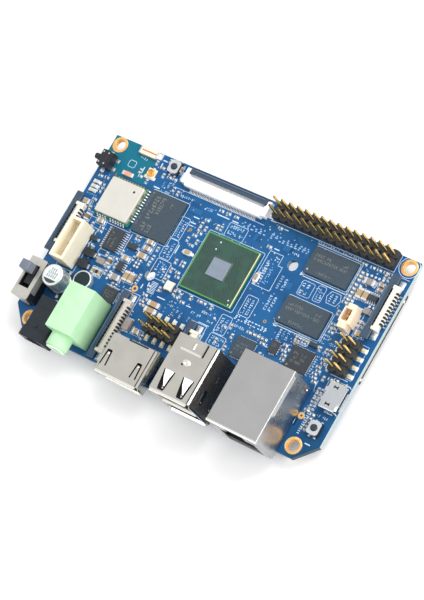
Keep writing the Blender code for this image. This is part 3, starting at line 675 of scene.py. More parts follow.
# ---- processor
x0, x1, y0, y1, carrier_z, carrier_top = node_box("cpu_substrate")
carrier = (x0, x1, y0, y1)
MATERIALS["carrier"] = carrier_material(*carrier)
with Piece("processor_carrier", "cpu_substrate", "package_green") as part:
    top = carrier_top
    part.box(*carrier, carrier_z, top, "carrier", 0.05, 0.03)
    part.box(x1 - 0.4, x1 - 0.08, y0 + 0.1, y1 - 0.1, top - 0.01, top + 0.015, "rim")
    for x, y, radius in ((46.35, 43.6, 0.24), (46.05, 41.4, 0.24), (57, 30, 0.22),
                         (57.5, 28.9, 0.22)):
        part.disc(x, y, radius, top - 0.02, top + 0.012, "silk")
    draw = random.Random(3)
    for i in range(34):
        x, y = draw.uniform(x0 + 1.5, x1 - 1.5), draw.uniform(y0 + 1.5, y1 - 1.5)
        if abs(x - 49.8) >= 4 or abs(y - 36.6) >= 4:
            part.disc(x, y, 0.09, top - 0.02, top + 0.008, "trace", 8)
x0, x1, y0, y1, z0, z1 = node_box("cpu_die")
with Piece("processor_die", "cpu_die", "silicon") as part:
    part.box(x0, x1, y0, y1, z0 - 0.04, z1, "die", 0.04)
with Piece("die_underfill", slot="package_green") as part:
    part.loft([(rounded(x0 - 0.4, x1 + 0.4, y0 - 0.35, y1 + 0.6, 0.4), top - 0.02),
               (rounded(x0 - 0.28, x1 + 0.28, y0 - 0.25, y1 + 0.4, 0.3), top + 0.05),
               (rounded(x0 - 0.04, x1 + 0.04, y0 - 0.04, y1 + 0.06, 0.08), top + 0.25)],
              "underfill")
with Piece("processor_solder_balls") as part:
    balls(part, *carrier, carrier_z, 0.95, 0.22)

# ---- memory and flash
# marks as x and y from a corner, width, height, count, density
MEMORY_MARKS = ((1.2, -2.45, 4.9, 0.72, 7, 0.8), (9.7, -2.45, 1.9, 0.72, 3, 1),
                (1.1, -3.75, 7.6, 0.8, 11, 1), (9.2, -3.75, 2.5, 0.8, 4, 1),
                (3.9, -6.9, 4.6, 0.62, 7, 1))
FLASH_MARKS = ((0.5, 2.0, 0.5, 9.4, 15, 0.7), (2.3, 1.0, 1.3, 2.7, 3, 1),
               (2.3, 4.6, 1.3, 7.2, 8, 1), (4.3, 1.0, 1.2, 2.4, 3, 1),
               (4.3, 6.8, 1.2, 5.2, 7, 1), (7.6, 9.8, 0.5, 2.0, 3, 1))


def ball_package(part, x0, x1, y0, y1, z0, z1):
    part.box(x0, x1, y0, y1, z0, z1, "chip", 0.06, 0.04)
    part.box(x0 + 0.12, x1 - 0.12, y0 + 0.12, y1 - 0.12, z0 - 0.1, z0 + 0.02, "board")


for side, seed in (("upper", 11), ("lower", 12)):
    node = "ram_chip_" + side
    x0, x1, y0, y1, z0, z1 = node_box(node)
    with Piece("ram_package_" + side, node, "chip_epoxy") as part:
        ball_package(part, x0, x1, y0, y1, z0, z1)
        for i, (x, y, width, height, count, density) in enumerate(MEMORY_MARKS):
            marks(part, x0 + x, y1 + y, width, height, count, "mark", z1, seed + i,
                  density=density)
        part.disc(x0 + 0.95, y0 + 1.05, 0.26, z1 - 0.02, z1 + 0.01, "silk_dim", 16)
        balls(part, x0, x1, y0, y1, z0 - 0.1, 0.8, 0.18)
x0, x1, y0, y1, z0, z1 = node_box("flash_chip")
with Piece("flash_package", "flash_chip", "chip_epoxy") as part:
    ball_package(part, x0, x1, y0, y1, z0, z1)
    for i, (x, y, width, height, count, density) in enumerate(FLASH_MARKS):
        marks(part, x0 + x, y0 + y, width, height, count, "mark", z1, 21 + i, True, density)
    part.disc(x0 + 0.9, y1 - 0.9, 0.3, z1 - 0.02, z1 + 0.008, "mark", 16)
    balls(part, x0, x1, y0, y1, z0 - 0.1, 0.9, 0.16)

# ---- chips with leads
x0, x1, y0, y1, z0, z1 = node_box("level_shifter_chip")
with Piece("level_shifter_package", "level_shifter_chip", "chip_epoxy") as part:
    middle = (z0 + z1) / 2
    part.loft([(rect(x0 + 0.08, x1 - 0.08, y0 + 0.06, y1 - 0.06, 0.05), z0),
               (rect(x0, x1, y0, y1, 0.06), middle),
               (rect(x0 + 0.1, x1 - 0.1, y0 + 0.08, y1 - 0.08, 0.06), z1)], "chip_dark")
    for i in range(10):
        y = (y0 + y1) / 2 + (i - 4.5) * 0.65
        bent_lead(part, x1, y, 0, 0.24, 1.0, middle + 0.06)
        bent_lead(part, x0, y, 180, 0.24, 1.0, middle + 0.06)
    marks(part, x0 + 1.0, y0 + 1.0, 0.6, 4.4, 7, "mark", z1, 31, True, 0.9)
    marks(part, x0 + 2.4, y0 + 1.0, 0.6, 3.2, 5, "mark", z1, 32, True, 0.9)
    part.disc(x0 + 0.6, y1 - 0.6, 0.2, z1 - 0.02, z1 + 0.006, "mark", 12)


def leadless_package(name, node, bounds, count, seed):
    """Flat square chip with count contacts on each side."""
    x0, x1, y0, y1, z0, z1 = bounds
    with Piece(name, node, "chip_epoxy") as part:
        part.box(*bounds, "chip_dark" if seed % 2 else "chip", 0.05)
        part.box(x0 + 0.5, x1 - 0.5, y0 + 0.5, y1 - 0.5, 0.0, z0 + 0.02, "tin")
        px, py = (x1 - x0 - 1.0) / (count - 1), (y1 - y0 - 1.0) / (count - 1)
        for i in range(count):
            x, y = x0 + 0.5 + i * px, y0 + 0.5 + i * py
            for u0, u1, v0, v1 in ((x - px * .3, x + px * .3, y0 - 0.28, y0 + 0.3),
                                   (x - px * .3, x + px * .3, y1 - 0.3, y1 + 0.28),
                                   (x0 - 0.28, x0 + 0.3, y - py * .3, y + py * .3),
                                   (x1 - 0.3, x1 + 0.28, y - py * .3, y + py * .3)):
                part.box(u0, u1, v0, v1, 0.0, 0.05, "tin")
                part.box(max(u0, x0 - 0.02), min(u1, x1 + 0.02), max(v0, y0 - 0.02),
                         min(v1, y1 + 0.02), 0.04, z0 + 0.12, "lead")
        size = x1 - x0
        for drop, width, n, extra in ((0.36, 0.6, 8, 0), (0.54, 0.68, 9, 5), (0.72, 0.5, 7, 9)):
            marks(part, x0 + 0.16 * size, y1 - drop * size, width * size, 0.1 * size, n, "mark",
                  z1, seed + extra)
        part.disc(x0 + 0.12 * size, y0 + 0.12 * size, 0.05 * size, z1 - 0.02, z1 + 0.008,
                  "mark", 12)


leadless_package("ethernet_phy_package", "ethernet_phy_chip", node_box("ethernet_phy_chip"), 12, 41)
leadless_package("usb_hub_package", "usb_hub_chip", node_box("usb_hub_chip"), 11, 42)
leadless_package("codec_package", None, (22.1, 26.4, 15.9, 20.1, 0.08, 0.9), 9, 43)
leadless_package("clock_package", None, (74.0, 76.5, 22.2, 25.7, 0.08, 0.85), 5, 45)

x0, x1, y0, y1, z0, z1 = node_box("crystal_can")
with Piece("crystal_and_oscillators", "crystal_can", "shield_nickel") as part:
    part.prism(rounded(x0, x1, y0, y1, 0.3), 0.05, z1 - 0.1, "peach", bevel=0.05)
    part.prism(rounded(x0 + 0.18, x1 - 0.18, y0 + 0.18, y1 - 0.18, 0.25), z1 - 0.12, z1, "cream",
               bevel=0.06)
    for x in (x0 - 0.12, x1 - 0.55):
        for y in (y0 - 0.12, y1 - 0.55):
            part.box(x, x + 0.67, y, y + 0.67, 0.0, 0.16, "tin")
    for x, y, turn in ((38.7, 37.4, 0), (60.5, 38.9, 90)):
        part.place(x, y, turn)
        part.prism(rounded(-1.55, 1.55, -0.78, 0.78, 0.72, 6), 0.05, 0.75, "tin", bevel=0.2)
        part.prism(rounded(-0.85, 0.85, -0.5, 0.5, 0.3), 0.7, 0.8, "cap_tan", bevel=0.04)
        part.box(-1.9, -1.2, -0.45, 0.45, 0, 0.07, "tin")
        part.box(1.2, 1.9, -0.45, 0.45, 0, 0.07, "tin")

# ---- radio module
x0, x1, y0, y1, z0, z1 = node_box("radio_module_board")
with Piece("radio_module_carrier", "radio_module_board", "board_blue") as part:
    contacts = [39.0 + 0.88 * i for i in range(12)]
    east = []
    for y in contacts:
        east += [(x1, y - 0.22), (x1 - 0.24, y - 0.12), (x1 - 0.24, y + 0.12), (x1, y + 0.22)]
    part.prism([(x0, y0), (x1, y0)] + east + [(x1, y1), (x0, y1)], z0, z1, "laminate")
    for y in contacts:
        part.box(x1 - 0.6, x1 - 0.22, y - 0.2, y + 0.2, z1 - 0.02, z1 + 0.03, "cap_tan")
        part.box(x1 - 0.26, x1 - 0.1, y - 0.13, y + 0.13, z0 - 0.05, z1 + 0.02, "gold_pin")
        part.prism([(x1 - 0.12, 0.0), (x1 + 0.45, 0.0), (x1 + 0.45, 0.05), (x1 + 0.2, 0.12),
                    (x1 - 0.12, 0.4)], y - 0.17, y + 0.17, "tin", axis="y")
    for x in (8.0, 8.9, 9.8, 10.7, 12.5, 13.4, 14.3, 15.2, 16.1, 17.0):
        part.box(x - 0.24, x + 0.24, y0 - 0.42, y0 + 0.1, 0.0, 0.1, "tin")
        part.box(x - 0.2, x + 0.2, y0 - 0.04, y0 + 0.34, z0 + 0.1, z1 + 0.03, "tin")
    for i in range(9):
        part.box(x0 - 0.3, x0 + 0.05, 38.6 + 1.15 * i, 39.1 + 1.15 * i, 0.0, 0.08, "tin")
    for i in range(10):
        part.box(8.0 + 0.95 * i, 8.45 + 0.95 * i, y1 - 0.3, y1 + 0.06, z1 - 0.02, z1 + 0.04,
                 "gold_pin")
x0, x1, y0, y1, z0, z1 = node_box("radio_shield_can")
with Piece("radio_shield_lid", "radio_shield_can", "shield_nickel", sharp=15) as part:
    outline = rounded(x0, x1, y0, y1, 0.45)
    part.loft([(outline, z0), (outline, z1 - 0.22), (inset(outline, 0.07), z1 - 0.08),
               (inset(outline, 0.22), z1)], "shield")
with Piece("radio_shield_details") as part:
    part.disc(15.55, 46.35, 0.36, z1 - 0.02, z1 + 0.004, "res", 18)
    for start, end in ((12.3, 15.0), (8.4, 9.6)):
        part.box(start, end, y0 - 0.02, y0 + 0.05, z0 + 0.1, z0 + 0.55, "res")
    for y in (39.8, 43.2, 46.4):
        part.box(x1 - 0.04, x1 + 0.02, y - 0.7, y + 0.7, z0 + 0.1, z0 + 0.4, "res")

# ---- aerial parts
x0, x1, y0, y1, z0, z1 = node_box("chip_antenna")
with Piece("ceramic_aerial", "chip_antenna", "connector_cream") as part:
    part.box(x0, x1, y0, y1, 0.05, z1, "ivory", 0.07)
    part.box(x0 + 0.7, x1 - 0.9, y1 - 1.15, y1 - 0.85, z1 - 0.01, z1 + 0.012, "red")
    for i in range(7):
        part.box(x0 + 0.9 + 0.55 * i, x0 + 1.1 + 0.55 * i, y1 - 0.86, y1 - 0.6, z1 - 0.01,
                 z1 + 0.012, "red")
    part.disc(x1 - 0.75, y1 - 0.95, 0.28, z1 - 0.02, z1 + 0.015, "red")
    for x in (x0 - 0.05, x1 - 0.45):
        part.box(x, x + 0.5, y0 - 0.03, y1 + 0.03, 0.02, z1 + 0.01, "lead", 0.05)
    part.box(x1 + 0.05, x1 + 1.15, y0 + 0.5, y1 + 0.2, 0.0, 0.06, "tin")
x0, x1, y0, y1, z0, z1 = node_box("antenna_socket")
cx, cy = (x0 + x1) / 2, (y0 + y1) / 2
with Piece("aerial_socket", "antenna_socket", "gold_plating") as part:
    part.box(x0, x1, y0, y1, z0 - 0.05, 0.48, "ivory", 0.06)
    part.box(x0 - 0.45, x0 + 0.6, y0 - 0.25, y0 + 0.7, 0.0, 0.2, "tin", 0.05)
    part.box(x1 - 0.6, x1 + 0.45, y0 - 0.25, y0 + 0.7, 0.0, 0.2, "tin", 0.05)
    part.box(x0 - 0.25, x1 + 0.25, y0 - 0.3, y0 + 0.05, 0.0, 0.12, "tin", 0.03)
    part.box(cx - 0.35, cx + 0.35, y1 - 0.1, y1 + 0.45, 0.0, 0.18, "tin", 0.04)
    part.lathe((cx, cy), [(1.2, 0.44), (1.2, 0.62), (1.02, 0.7), (1.02, z1 - 0.12), (0.92, z1),
                          (0.84, z1 - 0.04), (0.8, 0.6), (0.8, 0.44)], 32, "gold")
    part.disc(cx, cy, 0.82, 0.4, 0.62, "gold", 24)
    part.lathe((cx, cy), [(0, 0.5), (0.2, 0.5), (0.2, z1 - 0.25), (0.12, z1 - 0.14),
                          (0, z1 - 0.12)], 14, "gold_pin")

# ---- power jack
x0, x1, y0, y1, _, z1 = node_box("power_jack_housing")
z0 = 0.2
pin_x0, pin_x1, pin_y0, _, pin_z0, pin_z1 = node_box("power_jack_pin")
cx, cz = (pin_x0 + pin_x1) / 2, (pin_z0 + pin_z1) / 2
BORE_DEPTH = 6.4
with Piece("power_jack_shell", "power_jack_housing", "black_plastic") as part:
    outline = [(x0 + 0.25, z0), (x1 - 0.25, z0), (x1, z0 + 0.25), (x1, z1 - 0.45),
               (x1 - 0.45, z1), (x0 + 0.45, z1), (x0, z1 - 0.45), (x0, z0 + 0.25)]
    rear = inset(outline, 0.3)
    bore = circle(cx, cz, 2.3, 36)
    part.plate(inset(outline, 0.12), [circle(cx, cz, 2.45, 36)], y0, y0 + 0.12, "jack_black", "y")
    part.plate(outline, [bore], y0 + 0.1, y0 + 3.0, "jack_black", "y")
    part.plate(rear, [bore], y0 + 3.0, BORE_DEPTH, "jack_black", "y")
    part.prism(rear, BORE_DEPTH - 0.05, y1 - 0.1, "jack_black", axis="y")
    part.box(x0 + 0.35, x1 - 0.35, y1 - 0.7, y1, z0 + 0.1, z1 - 1.1, "jack_black", 0.15)
    part.box(x0 - 0.02, x0 + 0.4, 3.2, 5.6, 0.2, 3.0, "lead", 0.05)
    part.box(x1 - 0.3, x1 + 0.03, 4.4, 6.0, 0.2, 2.6, "lead", 0.05)
    part.box(cx - 1.0, cx + 1.0, y1 - 0.1, y1 + 0.03, 0.1, 2.6, "lead", 0.04)
    part.lathe((cx - 0.6, 1.0), [(0, z1 - 0.05), (0.5, z1 - 0.05), (0.5, z1 - 0.01),
                                 (0.42, z1 - 0.012), (0.42, z1 - 0.03), (0, z1 - 0.03)],
               20, "black")
with Piece("power_jack_centre_pin", "power_jack_pin", "shell_steel") as part:
    part.lathe((cx, cz), [(0, pin_y0), (0.45, pin_y0), (0.75, pin_y0 + 0.25),
                          (0.82, pin_y0 + 0.5), (0.82, 9.9), (0, 9.9)], 24, "lead", "y")
    part.disc(cx, cz, 2.28, 5.9, BORE_DEPTH, "black", 30, "y")
    part.prism(rect(cx + 1.7, cx + 2.05, cz - 0.5, cz + 0.5), y0 + 1.2, 6.0, "lead", axis="y")

# ---- audio jack
x0, x1, front, y1, _, z1 = node_box("audio_jack_housing")
cx, cz = 22.75, 7.5
with Piece("audio_jack_body", "audio_jack_housing", "jack_green", sharp=40) as part:
    outline = rounded(x0, x1, 0.25, z1, 0.22, 3)
    mouth = circle(cx, cz, 1.85, 32)
    part.plate(inset(outline, 0.1), [mouth], 1.5, 1.62, "mint", "y")
    part.plate(outline, [circle(cx, cz, 1.8, 32)], 1.6, y1 - 0.1, "mint", "y")
    part.plate(inset(outline, 0.1), [mouth], y1 - 0.1, y1, "mint", "y")
    part.disc(cx, cz, 1.82, 13.2, y1 - 0.02, "mint", 32, "y")
    part.lathe((cx, cz), [(3.1, 1.7), (3.1, -2.25), (3.02, -2.4), (2.72, -2.4), (2.72, -2.62),
                          (2.1, -2.62), (1.8, -2.4), (1.8, 1.7)], 48, "mint", "y")
    part.lathe((cx, cz), [(2.7, -2.5), (2.7, front), (2.55, front), (1.95, front),
                          (1.82, front + 0.15), (1.82, -2.5)], 48, "mint_ring", "y")
with Piece("audio_jack_contacts", slot="shell_steel") as part:
    for x in (20.0, 25.5):
        for y in (4.0, 13.0):
            part.box(x - 0.25, x + 0.25, y - 0.6, y + 0.6, -2.6, 0.4, "lead", 0.06)
    part.box(cx - 1.6, cx - 1.25, 3.0, 9.5, cz - 0.5, cz + 0.5, "lead", 0.05)
    part.box(cx + 1.2, cx + 1.5, 5.5, 12.0, cz - 0.45, cz + 0.45, "lead", 0.05)


# ---- sheet-metal port shells, open towards the south
def flare(part, start, end, y, edge, side, material="steel", out=0.55, rise=0.32, upright=False):
    """Front lip that opens outwards: side is +1 for a top or east lip, -1 for the opposite."""
    thick = 0.28
    profile = [(y + 0.05, edge - side * thick), (y + 0.05, edge),
               (y - out * 0.35, edge + side * rise * 0.25), (y - out, edge + side * rise),
               (y - out - 0.12, edge + side * (rise - thick * 0.8)),
               (y - out * 0.35, edge - side * thick * 0.75)]
    if upright:
        profile = [(across, along) for along, across in profile]
    part.prism(profile[::side], start, end, material, "z" if upright else "x")


# ---- video port
FINGER_XS = (36.62, 46.5)


def finger_slot(cx):
    """Slot round a spring finger that is joined at the south and free at the north."""
    root_y, tip_y, gap = -0.55, 4.0, 0.42
    root, tip = 1.35 / 2, 0.75 / 2
    return [(cx - root - gap, root_y), (cx - root, root_y), (cx - tip, tip_y - gap * 1.6),
            (cx + tip, tip_y - gap * 1.6), (cx + root, root_y), (cx + root + gap, root_y),
            (cx + tip + gap, tip_y - gap * 0.5), (cx + tip + gap * 0.5, tip_y),
            (cx - tip - gap * 0.5, tip_y), (cx - tip - gap, tip_y - gap * 0.5)]


x0, x1, y0, y1, _, z1 = node_box("video_port_shell")
z0 = 0.15
with Piece("video_port_housing", "video_port_shell", "shell_steel") as part:
    front = y0 + 0.55
    seam = x1 - 1.09
    part.plate([(x0 + 0.8, front), (seam, front), (seam, y1), (46.4, y1), (46.4, y1 - 0.45),
                (40.1, y1 - 0.45), (40.1, y1), (x0 + 0.8, y1)],
               [finger_slot(x) for x in FINGER_XS], z1 - 0.3, z1, "steel")
    for x, s in ((x0, 1), (x1, -1)):
        wall = [(x, 1.3), (x + s * 0.9, z0), (x + s * 3.2, z0), (x + s * 3.2, z0 + 0.3),
                (x + s * 1.0, z0 + 0.3), (x + s * 0.3, 1.45), (x + s * 0.3, z1 - 0.3),
                (x + s * 0.8, z1 - 0.3), (x + s * 0.8, z1), (x + s * 0.32, z1),
                (x + s * 0.16, z1 - 0.04), (x + s * 0.04, z1 - 0.16), (x, z1 - 0.32)]
        part.prism(wall[::s], front, y1 - 0.1, "steel", axis="y")
    # the fold along the east top edge is painted as a highlight
    fold = [(x1 - 0.62, z1 - 0.05), (x1 - 0.3, z1 + 0.02), (x1 - 0.02, z1 - 0.28),
            (x1 - 0.02, z1 - 0.4), (x1 - 0.5, z1 - 0.2)]
    part.prism(fold[::-1], front + 0.1, y1 - 0.15, "steel_highlight", axis="y")
    part.box(x0 + 3.2, x1 - 3.2, front, y1 - 1.2, z0, z0 + 0.3, "steel")
    part.box(x0 + 0.3, x1 - 0.3, y1 - 0.4, y1 - 0.1, 0.5, z1 - 0.9, "steel")
    for x in FINGER_XS:
        part.prism([(-0.55, z1 - 0.3), (-0.55, z1), (2.0, z1 - 0.12), (3.3, z1 - 0.14),
                    (3.3, z1 - 0.36), (2.4, z1 - 0.42)], x - 0.4, x + 0.4, "steel", axis="x")
        # a bump on each finger, painted as a highlight
        part.lathe((x, 2.85), [(0, z1 + 0.08), (0.2, z1 + 0.04), (0.36, z1 - 0.1),
                               (0.4, z1 - 0.25), (0, z1 - 0.25)], 16, "steel_highlight")
    # the top lip is painted as a highlight
    flare(part, x0 + 0.7, x1 - 0.7, front, z1, 1, "steel_highlight")
    flare(part, x0 + 1.4, x1 - 1.4, front, z0, -1, out=0.5, rise=0.2)
    flare(part, 1.8, z1 - 0.7, front, x0, -1, out=0.5, rise=0.2, upright=True)
    flare(part, 1.8, z1 - 0.7, front, x1, 1, out=0.5, rise=0.2, upright=True)
    for x in (x0 + 0.2, x1 - 0.2):
        for y in (1.6, 7.0):
            part.box(x - 0.2, x + 0.2, y - 0.75, y + 0.75, -2.7, 1.4, "steel", 0.06)
keep("video_port_insulator", "black")
with Piece("video_port_contacts", slot="black_plastic") as part:
    part.box(40.0, 46.5, y1 - 0.55, y1 + 0.02, 0.4, z1 - 0.35, "black", 0.08)
    for i in range(10):
        x = 37.6 + i * 1.0
        part.box(x - 0.14, x + 0.14, -1.3, 4.8, 2.58, 2.74, "gold_pin")
        part.box(x + 0.36, x + 0.64, -1.3, 4.8, 3.56, 3.72, "gold_pin")
    for i in range(19):
        x = 37.6 + i * 0.5
        part.box(x - 0.11, x + 0.11, y1 - 0.05, y1 + 1.15, 0.02, 0.16, "lead")

# ---- stacked usb port
SPRING_ROOT_Y, SPRING_TIP_Y, SPRING_DROP = 4.35, -0.35, 1.3


def spring(part, left, right, tip_x, z):
    """A tapering finger that dips into the port towards its free south end."""
    root_y, tip_y, drop = SPRING_ROOT_Y, SPRING_TIP_Y, SPRING_DROP
    lean = (tip_x - (left + right) / 2) * 0.3
    # y, left x, right x, height above the shell's top
    stations = [(root_y + 0.02, left, right, 0.0),
                (root_y * 0.6 + tip_y * 0.4, left + lean + 0.3, right + lean - 0.68, -0.42),
                (root_y * 0.18 + tip_y * 0.82, tip_x - 0.52, tip_x - 0.02, -drop),
                (tip_y, tip_x - 0.46, tip_x + 0.02, -drop + 0.05),
                (tip_y - 0.25, tip_x - 0.4, tip_x - 0.04, -drop + 0.35)]
    vertices, faces = [], []
    for y, a, b, height in stations:
        vertices += [(a, y, z + height), (b, y, z + height), (b, y, z + height - 0.25),
                     (a, y, z + height - 0.25)]
    last = (len(stations) - 1) * 4
    for o in range(0, last, 4):
        for k in range(4):
            j = (k + 1) % 4
            faces.append((o + k, o + j, o + 4 + j, o + 4 + k))
    faces += [(3, 2, 1, 0), (last, last + 1, last + 2, last + 3)]
    # the finger is in the steel of painted highlights
    part.add(vertices, faces, "steel_highlight")
    # a skin over the root, where the finger runs into the shell, duller than the finger: a softer
    # painted highlight
    (ya, a0, a1, za), (yb, b0, b1, zb) = stations[:2]
    part.add([(x, y, z + height + lift) for lift in (0.012, -0.1)
              for x, y, height in ((a0 + 0.02, ya, za), (a1 - 0.02, ya, za), (b1 - 0.02, yb, zb),
                                   (b0 + 0.02, yb, zb))],
             [(0, 3, 2, 1), (4, 5, 6, 7), (0, 1, 5, 4), (1, 2, 6, 5), (2, 3, 7, 6), (3, 0, 4, 7)],
             "steel_mid")
    # rounded contact dot near the free end, its dome in the steel of softer painted highlights, on a
    # dark ring of painted shade
    centre = (tip_x - 0.2, tip_y + 0.12)
    low = z - drop
    part.lathe(centre, [(0, low - 0.02), (0.44, low - 0.02), (0.44, low + 0.06),
                        (0.3, low + 0.09), (0, low + 0.09)], 18, "slate_shade")
    part.lathe(centre, [(0, low + 0.07), (0.27, low + 0.07), (0.2, low + 0.2), (0, low + 0.26)],
               18, "steel_mid")


def spring_window(left, right, tip_x, tip_y):
    """Window round a spring, narrowing towards its free end."""
    return [(left - 0.34, SPRING_ROOT_Y), (right + 0.34, SPRING_ROOT_Y),
            (tip_x + 1.02, tip_y + 0.35), (tip_x + 0.8, tip_y), (tip_x - 0.8, tip_y),
            (tip_x - 1.02, tip_y + 0.35)]


x0, x1, y0, y1, _, z1 = node_box("usb_port_shell")
z0 = 0.2
with Piece("usb_port_housing", "usb_port_shell", "shell_steel") as part:
    front = y0 + 0.5
    seam = 69.02
    part.plate([(x0 + 0.8, front), (seam, front), (seam, y1), (x0 + 0.8, y1)],
               [spring_window(59.05, 61.75, 60.5, -1.25),
                spring_window(64.95, 67.75, 66.5, -1.2),
                rect(66.42, 66.86, 10.75, y1 - 0.02), rect(62.4, 62.95, 11.75, 13.45),
                circle(62.5, 7.25, 0.38, 14)], z1 - 0.3, z1, "steel")
    side_windows = [[(0.4, 3.6), (4.4, 3.2), (4.4, 4.9), (0.4, 4.6)],
                    [(0.4, 9.6), (4.4, 9.2), (4.4, 11.4), (0.4, 11.0)]]
    radius = 0.34
    bend = z1 - radius - 0.02
    # the east wall takes a darker copy of the steel: painted shade
    for x, s, reach, holes, material in ((x0, 1, 0.8, [], "steel"),
                                         (x1, -1, 0.55, side_windows, "steel_in_shade")):
        fold = [(x + s * 0.3, bend), (x + s * 0.3, z1 - 0.3), (x + s * reach, z1 - 0.3),
                (x + s * reach, z1 + 0.02), (x + s * radius, z1 + 0.02),
                (x + s * radius * 0.5, z1 - 0.03), (x + s * 0.05, z1 - radius * 0.5),
                (x, z1 - radius), (x, bend)]
        part.prism(fold[::s], front, y1, "steel", axis="y")
        part.plate(rect(front, y1, z0, bend), holes, x, x + s * 0.3, material, "x")
        for hole in holes:
            z = (hole[0][1] + hole[3][1]) / 2
            part.prism([(4.4, z - 0.55), (4.4, z + 0.55), (1.2, z + 0.35), (0.9, z),
                        (1.2, z - 0.35)], x - 0.1, x + 0.12, "steel", axis="x")
    part.box(x0 + 0.3, x1 - 0.3, y1 - 0.3, y1, z0, z1 - 0.3, "steel")
    part.box(x0 + 0.3, x1 - 0.3, y1 - 0.02, y1 + 0.22, 1.2, z1 - 4.2, "steel", 0.08)
    # thin bright lines on the east wall: painted highlights
    for start, end, low, high in ((0.3, 3.3, 13.83, 13.98), (0.3, 3.3, 11.52, 11.66),
                                  (7.5, 9.4, 8.3, 8.45)):
        part.box(x1 - 0.02, x1 + 0.05, start, end, low, high, "steel_highlight")
    spring(part, 59.05, 61.75, 60.45, z1)
    spring(part, 64.95, 67.75, 66.45, z1)
    # rear flap a little proud of the top, its bend painted as a highlight, and two raised bumps, the
    # round one painted as a highlight
    part.loft([(rect(59.8, 66.35, y, y1 - 0.05), z1 + lift)
               for y, lift in ((10.6, -0.02), (10.85, 0.2), (11.15, 0.22))], "steel")
    part.prism([(10.55, z1), (10.8, z1 + 0.24), (11.1, z1 + 0.26), (11.1, z1 + 0.1)],
               59.8, 66.35, "steel_highlight", axis="x")
    part.prism([(62.5, z1 + 0.1), (63.6, z1 + 0.1), (63.35, z1 + 0.38), (62.9, z1 + 0.42)],
               11.75, 13.4, "steel", axis="y")
    part.loft([(ellipse(63.35, 7.95, 1.25 * k, 0.95 * k, 24), z1 + lift)
               for k, lift in ((1.0, -0.1), (1.0, 0.0), (0.86, 0.2), (0.62, 0.36), (0.3, 0.44),
                               (0.05, 0.46))], "steel_highlight")
    # the top lip and the two lower lips are painted as highlights
    flare(part, x0 + 0.6, x1 - 0.6, front, z1, 1, "steel_highlight", out=0.6)
    flare(part, x0 + 0.9, x1 - 0.9, front, z0 + 0.2, -1, "steel_highlight", out=0.62, rise=0.2)
    flare(part, x0 + 0.9, x1 - 0.9, front, 7.3, -1, "steel_highlight", out=0.5, rise=0.3)
    flare(part, 1.0, z1 - 0.8, front, x0, -1, out=0.48, rise=0.26, upright=True)
    flare(part, 1.0, z1 - 0.8, front, x1, 1, out=0.48, rise=0.26, upright=True)
    part.box(x0 + 0.3, x1 - 0.3, front - 0.1, 9.0, 7.05, 8.55, "steel", 0.1)
    # the fold along the east top edge is painted as a highlight
    fold = [(x1 - 0.52, z1 - 0.02), (x1 - 0.3, z1 + 0.05), (x1 + 0.01, z1 - 0.3),
            (x1 + 0.01, z1 - 0.42), (x1 - 0.4, z1 - 0.2)]
    part.prism(fold[::-1], front + 0.2, y1 - 0.2, "steel_highlight", axis="y")
    for x in (x0 + 0.175, x1 - 0.175):
        for y in (3.6, 11.6):
            part.box(x - 0.17, x + 0.17, y - 1.1, y + 1.1, -2.7, 1.2, "steel", 0.05)
keep("usb_port_insulator", "black")
with Piece("usb_port_contacts", slot="black_plastic") as part:
    for z in (4.4, 11.7):
        part.box(58.4, 68.7, -0.9, 9.3, z + 0.02, z + 1.68, "white", 0.12)
        for i in range(4):
            x = 60.0 + 2.35 * i
            part.box(x - 0.5, x + 0.5, -0.2, 7.4, z - 0.08, z + 0.06, "gold_pin", 0.03)

